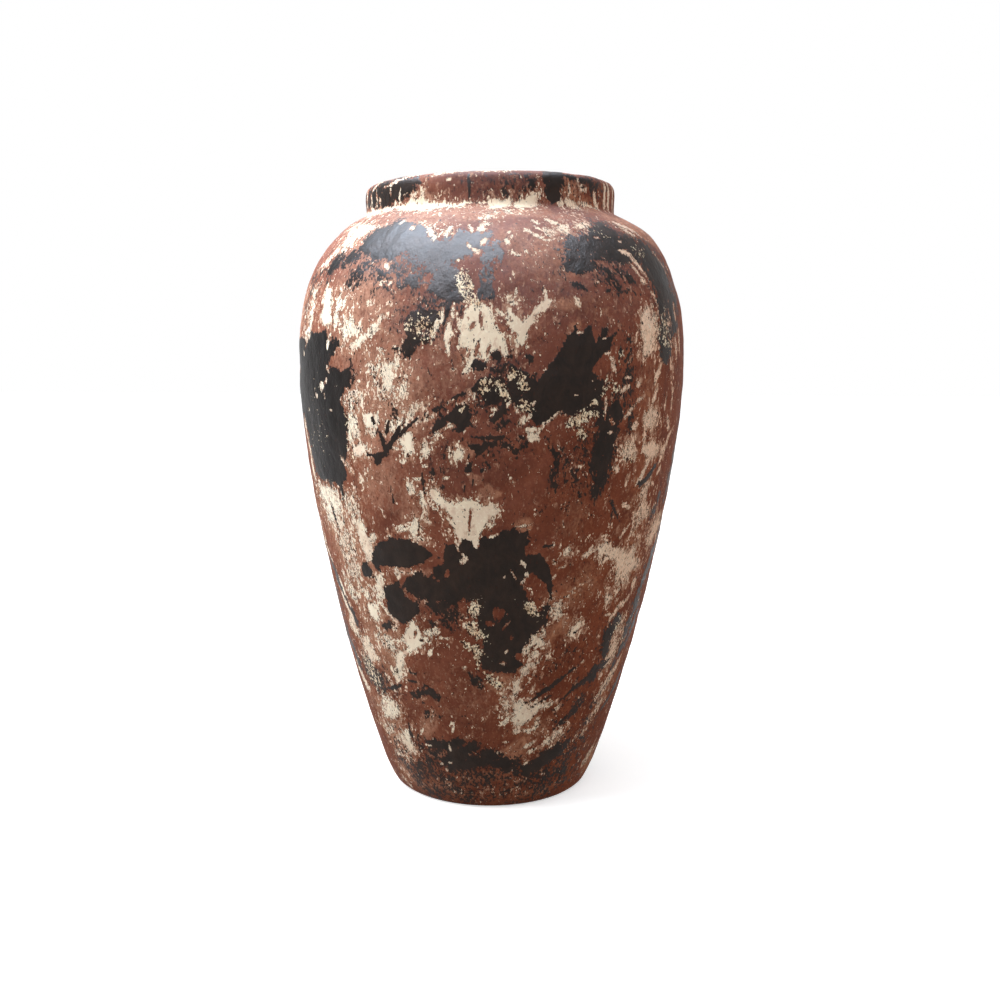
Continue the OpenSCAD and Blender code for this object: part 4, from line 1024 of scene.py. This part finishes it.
# The pale wash, thin cream, and solid cream in the middle, on the right and on the left, and what varies it
WASH = ((0.155, 0.056, 0.033), (0.48, 0.255, 0.168))
THIN = ((0.27, 0.115, 0.07), (0.46, 0.26, 0.17))
CREAM_MIDDLE = (0.82, 0.70, 0.54)
# Right of the middle the cream is pinker and darker, partly its own tint and partly painted shade; left of it
# paler, partly painted light
CREAM_PINK_SHADED_RIGHT = (0.78, 0.51, 0.36)
CREAM_PALE_LIT_LEFT = (0.86, 0.80, 0.67)
CREAM_CLOUD = (0.68, 0.50, 0.38)
CREAM_GRAIN = (0.92, 0.85, 0.70)
CREAM_SMEAR = (0.52, 0.30, 0.2)
CREAM_EDGE = (0.55, 0.31, 0.19)
# Black, and blacker on the left as painted shade; pale granules; the shade beside cream; dark grains and
# cracks
BLACK = ((0.018, 0.0125, 0.010), (0.032, 0.020, 0.015))
BLACK_SHADED_LEFT = (0.009, 0.0075, 0.007)
BLACK_ROUGHNESS = (0.42, 0.42, 0.42)
GRANULE = ((0.90, 0.80, 0.60), (0.66, 0.45, 0.28))
SHADE = (0.06, 0.025, 0.016)
CRACK = (0.034, 0.015, 0.010)
# Grit in bare clay
PALE_GRIT = (0.42, 0.30, 0.22)
DARK_GRIT = (0.06, 0.03, 0.02)

Noises = namedtuple(
    "Noises", "flake grain streak ragged slant dust cloud mottle smear thread crack pits lumps")


def paint_noises(s):
    """The noises that break up the paint, each with its own size and direction."""
    upright = s.stretched((1, 1, 0.55))
    streaky = s.stretched((1, 1, 0.28))
    slanted = s.stretched((1, 1, 0.3), turn=(0, np.radians(48), 0))
    other = s.stretched((1, 1, 0.65), shift=(3.1, 1.7, 0.4))
    third = s.stretched((1, 1, 0.7), shift=(0.7, 5.2, 1.9))
    return Noises(
        flake=s.noise(5.5 * MM, 4, 0.62, upright, 0.6, spread=0.2),
        grain=s.noise(2.3 * MM, 2, 0.55, s.stretched((1, 1, 0.8)), 0, spread=0.19),
        streak=s.noise(3.2 * MM, 4, 0.6, streaky, 0.4, spread=0.2),
        ragged=s.noise(9 * MM, 6, 0.68, other, 0.9, spread=0.2),
        slant=s.noise(3 * MM, 3, 0.6, slanted, 0.3, spread=0.18),
        dust=s.noise(2.1 * MM, 2, 0.5, other, 0, spread=0.19),
        cloud=s.noise(45 * MM, 4, 0.6, None, 0.4, spread=0.16),
        mottle=s.noise(13 * MM, 5, 0.62, third, 0.6, spread=0.18),
        smear=s.noise(6 * MM, 4, 0.6, third, 0.4, spread=0.18),
        thread=s.span(s.lines(6 * MM, 3, 0.6, streaky, 1.2), 0.0, 0.09),
        crack=s.span(s.lines(3.4 * MM, 3, 0.6, upright, 1.0), 0.032, 0.012),
        pits=s.noise(1.8 * MM, 3, 0.6),
        lumps=s.noise(7 * MM, 4, 0.6, third))


def granules(s, n, speck):
    """Where pale granules stand up."""
    level = s.math("SUBTRACT", 1.15, n.grain)
    standing = s.span(s.math("SUBTRACT", speck, level), -0.05, 0.08, smooth=True)
    return s.math("MULTIPLY", standing, s.span(speck, 0.02, 0.1))


def cracks(s, n, cream, speck):
    """Where granules and worn cream are broken by dark grains and thin dark lines."""
    broken = s.math("MULTIPLY", s.span(cream, 0.2, 0.5), s.span(cream, 1.0, 0.7))
    broken = s.math("MULTIPLY", broken, s.span(n.mottle, 0.3, 0.7))
    loose = s.math("MAXIMUM", broken, s.span(speck, 0.15, 0.6))
    gap = s.math("MULTIPLY_ADD", loose, 0.3, s.math("MULTIPLY", n.dust, -1))
    pepper = s.span(gap, -0.04, 0.06, smooth=True)
    dry = s.math("MULTIPLY", s.span(cream, 0.3, 0.5), s.span(cream, 0.98, 0.72))
    line = s.math("MULTIPLY", n.crack, s.math("MAXIMUM", dry, s.span(speck, 0.25, 0.5)))
    return s.math("MAXIMUM", pepper, line)


def ground(s, n, cream, black, tan, black_gap):
    """Terracotta brown, livelier where paint was wiped over it, and smudged darker near the black."""
    brown = s.mix(s.span(n.cloud, 0.1, 0.9), *GROUND)
    busy = s.math("ADD", s.blend((tan, 0.7), (cream, 0.9), (black, 0.5)), 0.2, clamp=True)
    blotch = s.blend((n.mottle, 0.5), (n.smear, 0.5), contrast=1.5)
    brown = s.mix(s.math("MULTIPLY", s.span(blotch, 0.5, 0.95), busy), brown, LIFTED)
    sunk = s.math("MULTIPLY", s.span(blotch, 0.45, 0.02), s.math("MULTIPLY_ADD", busy, 0.8, 0.1))
    brown = s.mix(sunk, brown, SUNK)
    fleck = s.span(s.blend((n.grain, 0.6), (n.streak, 0.4), contrast=1.3), 0.68, 0.86)
    brown = s.mix(s.math("MULTIPLY", s.math("MULTIPLY", fleck, busy), 0.75), brown, FLECK)
    smudge = s.span(s.math("MULTIPLY_ADD", blotch, -0.3, black_gap), -0.4, -0.1, 0, 0.68, smooth=True)
    return s.mix(smudge, brown, SMUDGE)


def cream_colour(s, n, across, cream_gap):
    """Cream, pinker and darker on the right, partly its own tint and partly painted shade, paler on the left,
    partly painted light, and browner where it is smeared or ends.
    """
    tint = s.mix(s.span(across, 0.02, 0.17), CREAM_MIDDLE, CREAM_PINK_SHADED_RIGHT)
    tint = s.mix(s.span(across, -0.02, -0.15), tint, CREAM_PALE_LIT_LEFT)
    tint = s.mix(s.span(n.cloud, 0.4, 0.9, 0, 0.5), tint, CREAM_CLOUD)
    tint = s.mix(s.span(n.grain, 0.6, 1.0, 0, 0.6), tint, CREAM_GRAIN)
    tint = s.mix(s.span(n.smear, 0.35, 0.0, 0, 0.65), tint, CREAM_SMEAR)
    return s.mix(s.span(cream_gap, 0.09, 0.0, 0, 0.65), tint, CREAM_EDGE)


def shade_beside(s, n, cream_gap):
    """Where cream ends: a narrow dark border, broken up."""
    border = s.math("MULTIPLY", s.span(cream_gap, -0.16, -0.08), s.span(cream_gap, 0.0, -0.05))
    return s.math("MULTIPLY", border, s.span(n.dust, 0.4, 0.7, 0, 0.7))


def paint_surface():
    """Terracotta ground, thin and solid cream, black dabs, and granules of cream and black over them."""
    s = Surface("aged_paint")
    n = paint_noises(s)
    cream, black, speck, tan = (s.attribute(name) for name in LAYERS)
    across = s.across()

    # Paint shows where its amount rises above a level that noise sets
    cream_level = s.blend(
        (n.flake, 0.36), (n.grain, 0.32), (n.streak, 0.16), (n.thread, 0.16), contrast=2.0)
    tan_level = s.blend((n.smear, 0.5), (n.flake, 0.2), (n.streak, 0.3), contrast=1.6)
    black_level = s.blend((n.ragged, 0.46), (n.slant, 0.2), (n.dust, 0.34), contrast=1.6)
    cream_gap = s.math("SUBTRACT", cream, cream_level)
    black_gap = s.math("SUBTRACT", black, black_level)
    cream_on = s.span(cream_gap, -0.075, 0.01, smooth=True)
    thin_on = s.span(s.math("SUBTRACT", cream, tan_level), -0.3, 0.0, 0, 0.8, smooth=True)
    wash_on = s.span(s.math("SUBTRACT", tan, tan_level), -0.4, 0.15, 0, 0.88, smooth=True)
    black_on = s.span(black_gap, -0.06, 0.05, smooth=True)
    granule_on = granules(s, n, speck)

    dry_wash = s.blend((n.streak, 0.4), (n.smear, 0.45), (n.grain, 0.15), contrast=1.8)
    wash = s.mix(s.span(dry_wash, 0.1, 0.95), *WASH)
    thin = s.mix(s.span(n.grain, 0.3, 0.8), *THIN)
    # Painted shade: the black is made blacker on the left, where the lamps light the jar most
    dark = s.mix(s.span(across, -0.06, -0.15), s.mix(s.span(n.mottle, 0.2, 1.0), *BLACK), BLACK_SHADED_LEFT)
    granule = s.mix(s.span(n.smear, 0.2, 0.9), *GRANULE)

    colour = s.mix(wash_on, ground(s, n, cream, black, tan, black_gap), wash)
    # Warmer and darker towards the right: partly the ground's own tone, partly painted shade on the side away
    # from the lamps
    colour = s.mix(s.span(across, -0.08, 0.08), colour, WARMER_AND_SHADED_RIGHT, "MULTIPLY")
    colour = s.mix(thin_on, colour, thin)
    colour = s.mix(shade_beside(s, n, cream_gap), colour, SHADE)
    colour = s.mix(cream_on, colour, cream_colour(s, n, across, cream_gap))
    colour = s.mix(black_on, colour, dark)
    colour = s.mix(granule_on, colour, granule)
    colour = s.mix(cracks(s, n, cream, speck), colour, CRACK)
    s.put(s.shader.inputs["Base Color"], colour)

    rough = s.mix(black_on, s.span(n.mottle, 0, 1, 0.68, 0.78), BLACK_ROUGHNESS)
    s.put(s.shader.inputs["Roughness"], rough)
    s.shader.inputs["IOR"].default_value = 1.45
    s.shader.inputs["Specular IOR Level"].default_value = 0.07

    thickness = s.blend((black_on, 0.35), (cream_on, -0.25), (granule_on, 0.3))
    normal = s.bump(n.lumps, 1.1 * MM, 0.75)
    normal = s.bump(n.pits, 0.35 * MM, 0.4, normal)
    s.put(s.shader.inputs["Normal"], s.bump(thickness, 0.22 * MM, 0.8, normal))
    return s.material


def clay_surface(name, low, high, grit):
    """Bare fired clay: a warm mottled red with fine grit."""
    s = Surface(name)
    cloud = s.noise(50 * MM, 5, 0.6, None, 0.5, spread=0.18)
    speckle = s.noise(1.4 * MM, 2, 0.6, None, 0, spread=0.2)
    rings = s.noise(7 * MM, 3, 0.55, s.stretched((0.05, 0.05, 1)), 0, spread=0.2)
    colour = s.mix(s.span(cloud, 0, 1), low, high)
    colour = s.mix(s.span(rings, 0.4, 1.1, 0, 0.35), colour, tuple(1.35 * c for c in high))
    colour = s.mix(s.span(speckle, 0.82, 1.0, 0, grit), colour, PALE_GRIT)
    colour = s.mix(s.span(speckle, 0.15, 0.0, 0, grit), colour, DARK_GRIT)
    s.put(s.shader.inputs["Base Color"], colour)
    s.put(s.shader.inputs["Roughness"], s.span(cloud, 0, 1, 0.82, 0.95))
    s.shader.inputs["Specular IOR Level"].default_value = 0.3
    normal = s.bump(rings, 0.4 * MM, 0.5)
    s.put(s.shader.inputs["Normal"], s.bump(speckle, 0.2 * MM, 0.5, normal))
    return s.material


# Pieces

COAT_ANGLES = angles(560, 0.5)
COAT_STEP = 2.4 * MM
COAT_CREASE = np.radians(55)
CLAY_ANGLES = angles(160)
CLAY_STEP = 4 * MM
CLAY_CREASE = np.radians(40)
THROWING_STEP = 11 * MM
BLACK_THICKNESS = 0.12 * MM
# The least amounts of cream and black, below what shows, and how much more of them some places have
LEAST_CREAM = -0.3
LEAST_BLACK = -0.2
PATCHINESS = 0.26
# How far apart the finger ridges are, how high they stand in clay and in slip, and the faces that have them
FINGER_STEP = 12 * MM
CLAY_RIDGE = 0.6 * MM
SLIP_RIDGE = 0.3 * MM
FACING_IN = (0.35, 0.6)


def coat_paths():
    """The coat's outer outline, from the foot over the lip into the neck, and its inner one back again."""
    outline = meridian("painted_coat").points
    row = np.roll(outline, -np.argmin(outline[:, 1]), axis=0)
    within = [i for i in range(len(row)) if row[i, 1] > JAR_H / 2 and row[i, 0] < NECK_R - COAT_T]
    end = min(within, key=lambda i: row[i, 1])
    one_way, other_way = row[:end + 1], np.concatenate([row[end:], row[:1]])[::-1]
    outer, inner = sorted((one_way, other_way), key=lambda p: -p[:, 1].max())
    return smooth_path(outer, COAT_STEP), inner[::-1][1:-1:2]


def coat_layers(side):
    """How much of each paint lies at each point of the coat's face; below 0 where there is none."""
    layers = {name: np.zeros((side.rows, side.segments)) for name in LAYERS}
    paint_front(side, layers)
    paint_rest(side, layers)
    patchy = 0.5 + 0.5 * side.waves(70 * MM, 21)
    layers["cream"] = np.maximum(layers["cream"], LEAST_CREAM + PATCHINESS * patchy)
    layers["black"] = np.maximum(layers["black"], LEAST_BLACK + PATCHINESS * (1 - patchy))
    return layers


def coat_relief(side, black):
    """How far the coat's face stands out: throwing lines, lumps and the thickness of the black paint."""
    swing = side.points[..., 2] * TAU / THROWING_STEP + 2.5 * side.waves(0.12, 41)
    rings = np.sin(swing) * (0.6 + 0.4 * side.waves(90 * MM, 42))
    lumps = side.waves(38 * MM, 43) * 0.35 + side.waves(15 * MM, 44) * 0.14
    relief = (0.05 * rings + lumps) * MM + BLACK_THICKNESS * ramp(0.4, 0.7, black)
    return relief * ramp(0, 12 * MM, side.along)[:, None]


def make_coat():
    """The painted skin, from the foot over the lip into the neck."""
    face, back = coat_paths()
    side = JarSide(face, COAT_ANGLES)
    layers = coat_layers(side)
    face_points = side.points + side.normals * coat_relief(side, layers["black"])[..., None]
    points = np.concatenate([face_points, settle(turned(back, COAT_ANGLES))])
    padding = np.zeros((len(back), side.segments))
    attributes = {name: np.concatenate([values, padding]) for name, values in layers.items()}
    faces = ring_faces(len(points), side.segments, True)
    piece = make_mesh("jar_coat", points, faces, attributes, COAT_CREASE)
    piece.data.materials.append(paint_surface())
    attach(piece, "root")
    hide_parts("painted_coat")


def finger_ridges(path, normal, points, ridge):
    """How far the fingers pushed the inside of a ring out or in, less at its upper and lower ends."""
    low, high = path[:, 1].min(), path[:, 1].max()
    ends = ramp(0, 5 * MM, path[:, 1] - low) * ramp(0, 5 * MM, high - path[:, 1])
    inside = ramp(*FACING_IN, -normal[:, 0]) * ends
    flat = points.reshape(-1, 3)
    climb = CLAY_ANGLES[None, :] + points[..., 2] * TAU / FINGER_STEP
    depth = ridge * np.sin(climb + 1.5 * waves(flat, 0.16, 61).reshape(climb.shape))
    depth += 0.5 * ridge * waves(flat, 45 * MM, 62).reshape(climb.shape)
    return inside[:, None] * depth


def make_ring(node, material, ridge):
    """A thrown ring of clay or slip, ridged by the fingers on its inside."""
    outline = meridian(node)
    path = cut_path(outline.points, CLAY_STEP)
    if outline.closed:
        gap = cut_path(np.array([outline.points[-1], outline.points[0]]), CLAY_STEP)[1:-1]
        path = np.concatenate([path, gap])
    normal = side_of(path, outline.closed)
    area = np.sum(path[:, 0] * np.roll(path[:, 1], -1) - np.roll(path[:, 0], -1) * path[:, 1])
    if area > 0:
        normal = -normal
    points = turned(path, CLAY_ANGLES)
    push = finger_ridges(path, normal, points, ridge)[..., None]
    piece = make_mesh("turned_" + node, settle(points + turned(normal, CLAY_ANGLES) * push),
                      ring_faces(len(path), len(CLAY_ANGLES), outline.closed), crease=CLAY_CREASE)
    piece.data.materials.append(material)
    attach(piece, "root")
    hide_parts(node)


def make_clay():
    """Every piece but the coat, in bare clay or slip."""
    clay = clay_surface("bare_terracotta", (0.20, 0.072, 0.038), (0.30, 0.12, 0.065), 0.5)
    slip = clay_surface("fired_slip", (0.28, 0.13, 0.08), (0.38, 0.19, 0.12), 0.25)
    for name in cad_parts:
        if name.startswith("slip"):
            make_ring(name, slip, SLIP_RIDGE)
        elif name != "painted_coat":
            make_ring(name, clay, 0 if name == "floor_slab" else CLAY_RIDGE)


# Stage, camera and light

FLOOR_HALF = 9.0
FLOOR_COLOUR = (0.19, 0.17, 0.15)
FLOOR_SEEN = (0.86, 0.86, 0.87)
FLOOR_GLOW = 0.45
SKY_LEVEL = 0.84


def seen_directly(tree):
    """1 for the rays that look at the background itself or at its image in a glossy surface."""
    path = tree.nodes.new("ShaderNodeLightPath")
    direct = path.outputs["Is Camera Ray"]
    for name in ("Is Glossy Ray", "Is Transmission Ray"):
        either = tree.nodes.new("ShaderNodeMath")
        either.operation = "MAXIMUM"
        tree.links.new(direct, either.inputs[0])
        tree.links.new(path.outputs[name], either.inputs[1])
        direct = either.outputs[0]
    return direct


def make_stage():
    """A wide floor, white where it is looked at, with the jar's shadow on it."""
    corners = FLOOR_HALF * np.array([(-1, -1, 0), (1, -1, 0), (1, 1, 0), (-1, 1, 0)])
    floor = make_mesh("floor", corners, [[0, 1, 2, 3]])
    s = Surface("white_floor")
    direct = seen_directly(s.tree)
    s.put(s.shader.inputs["Base Color"], s.mix(direct, FLOOR_COLOUR, FLOOR_SEEN))
    s.shader.inputs["Emission Color"].default_value = (1, 1, 1, 1)
    s.put(s.shader.inputs["Emission Strength"], s.math("MULTIPLY", direct, FLOOR_GLOW))
    s.shader.inputs["Roughness"].default_value = 0.9
    s.shader.inputs["Specular IOR Level"].default_value = 0.0
    floor.data.materials.append(s.material)


def make_light(name, place, height, size, watts, colour):
    """A round lamp that looks at the jar's axis at the given height."""
    light = bpy.data.lights.new(name, "AREA")
    light.shape = "DISK"
    light.size = size
    light.energy = watts
    light.color = colour
    lamp = bpy.data.objects.new(name, light)
    lamp.location = place
    aim = np.array((0, 0, height)) - np.array(place)
    lamp.rotation_euler = Vector(aim).to_track_quat("-Z", "Y").to_euler()
    bpy.context.scene.collection.objects.link(lamp)
    return lamp


def make_lights():
    """Three soft lamps that light the jar, and one that only gives the sheen on its shoulder."""
    for name, place, height, size, watts, colour in (
            ("left_sky", (-1.35, -0.5, 1.25), 0.4, 1.2, 22, (1.0, 0.98, 0.96)),
            ("high_sky", (-1.3, 0.04, 2.11), 0.5, 0.9, 44, (0.95, 0.97, 1.0)),
            ("right_fill", (1.5, -0.9, 0.7), 0.3, 1.2, 4, (1.0, 0.93, 0.86))):
        make_light(name, place, height, size, watts, colour).visible_glossy = False
    sheen = make_light("sheen_sky", (-0.36, -0.42, 2.10), 0.5, 2.6, 1150, (0.72, 0.84, 1.0))
    sheen.visible_diffuse = False


def make_world():
    """A soft white sky: even, and as bright as the background where it is looked at."""
    world = bpy.data.worlds.new("studio")
    world.use_nodes = True
    bpy.context.scene.world = world
    tree = world.node_tree
    strength = tree.nodes.new("ShaderNodeMapRange")
    tree.links.new(seen_directly(tree), strength.inputs[0])
    strength.inputs[3].default_value = SKY_LEVEL
    strength.inputs[4].default_value = 1.0
    sky = tree.nodes["Background"]
    tree.links.new(strength.outputs[0], sky.inputs["Strength"])
    sky.inputs["Color"].default_value = (1, 1, 1, 1)


def make_camera():
    camera = bpy.data.cameras.new("camera")
    camera.sensor_width = SENSOR
    camera.lens = LENS
    eye = bpy.data.objects.new("camera", camera)
    eye.matrix_world = Matrix.Translation(CAMERA_PLACE) @ camera_turn().to_4x4()
    bpy.context.scene.collection.objects.link(eye)
    bpy.context.scene.camera = eye


make_camera()
make_stage()
make_world()
make_lights()
make_clay()
make_coat()

bpy.context.scene.view_settings.view_transform = "Standard"
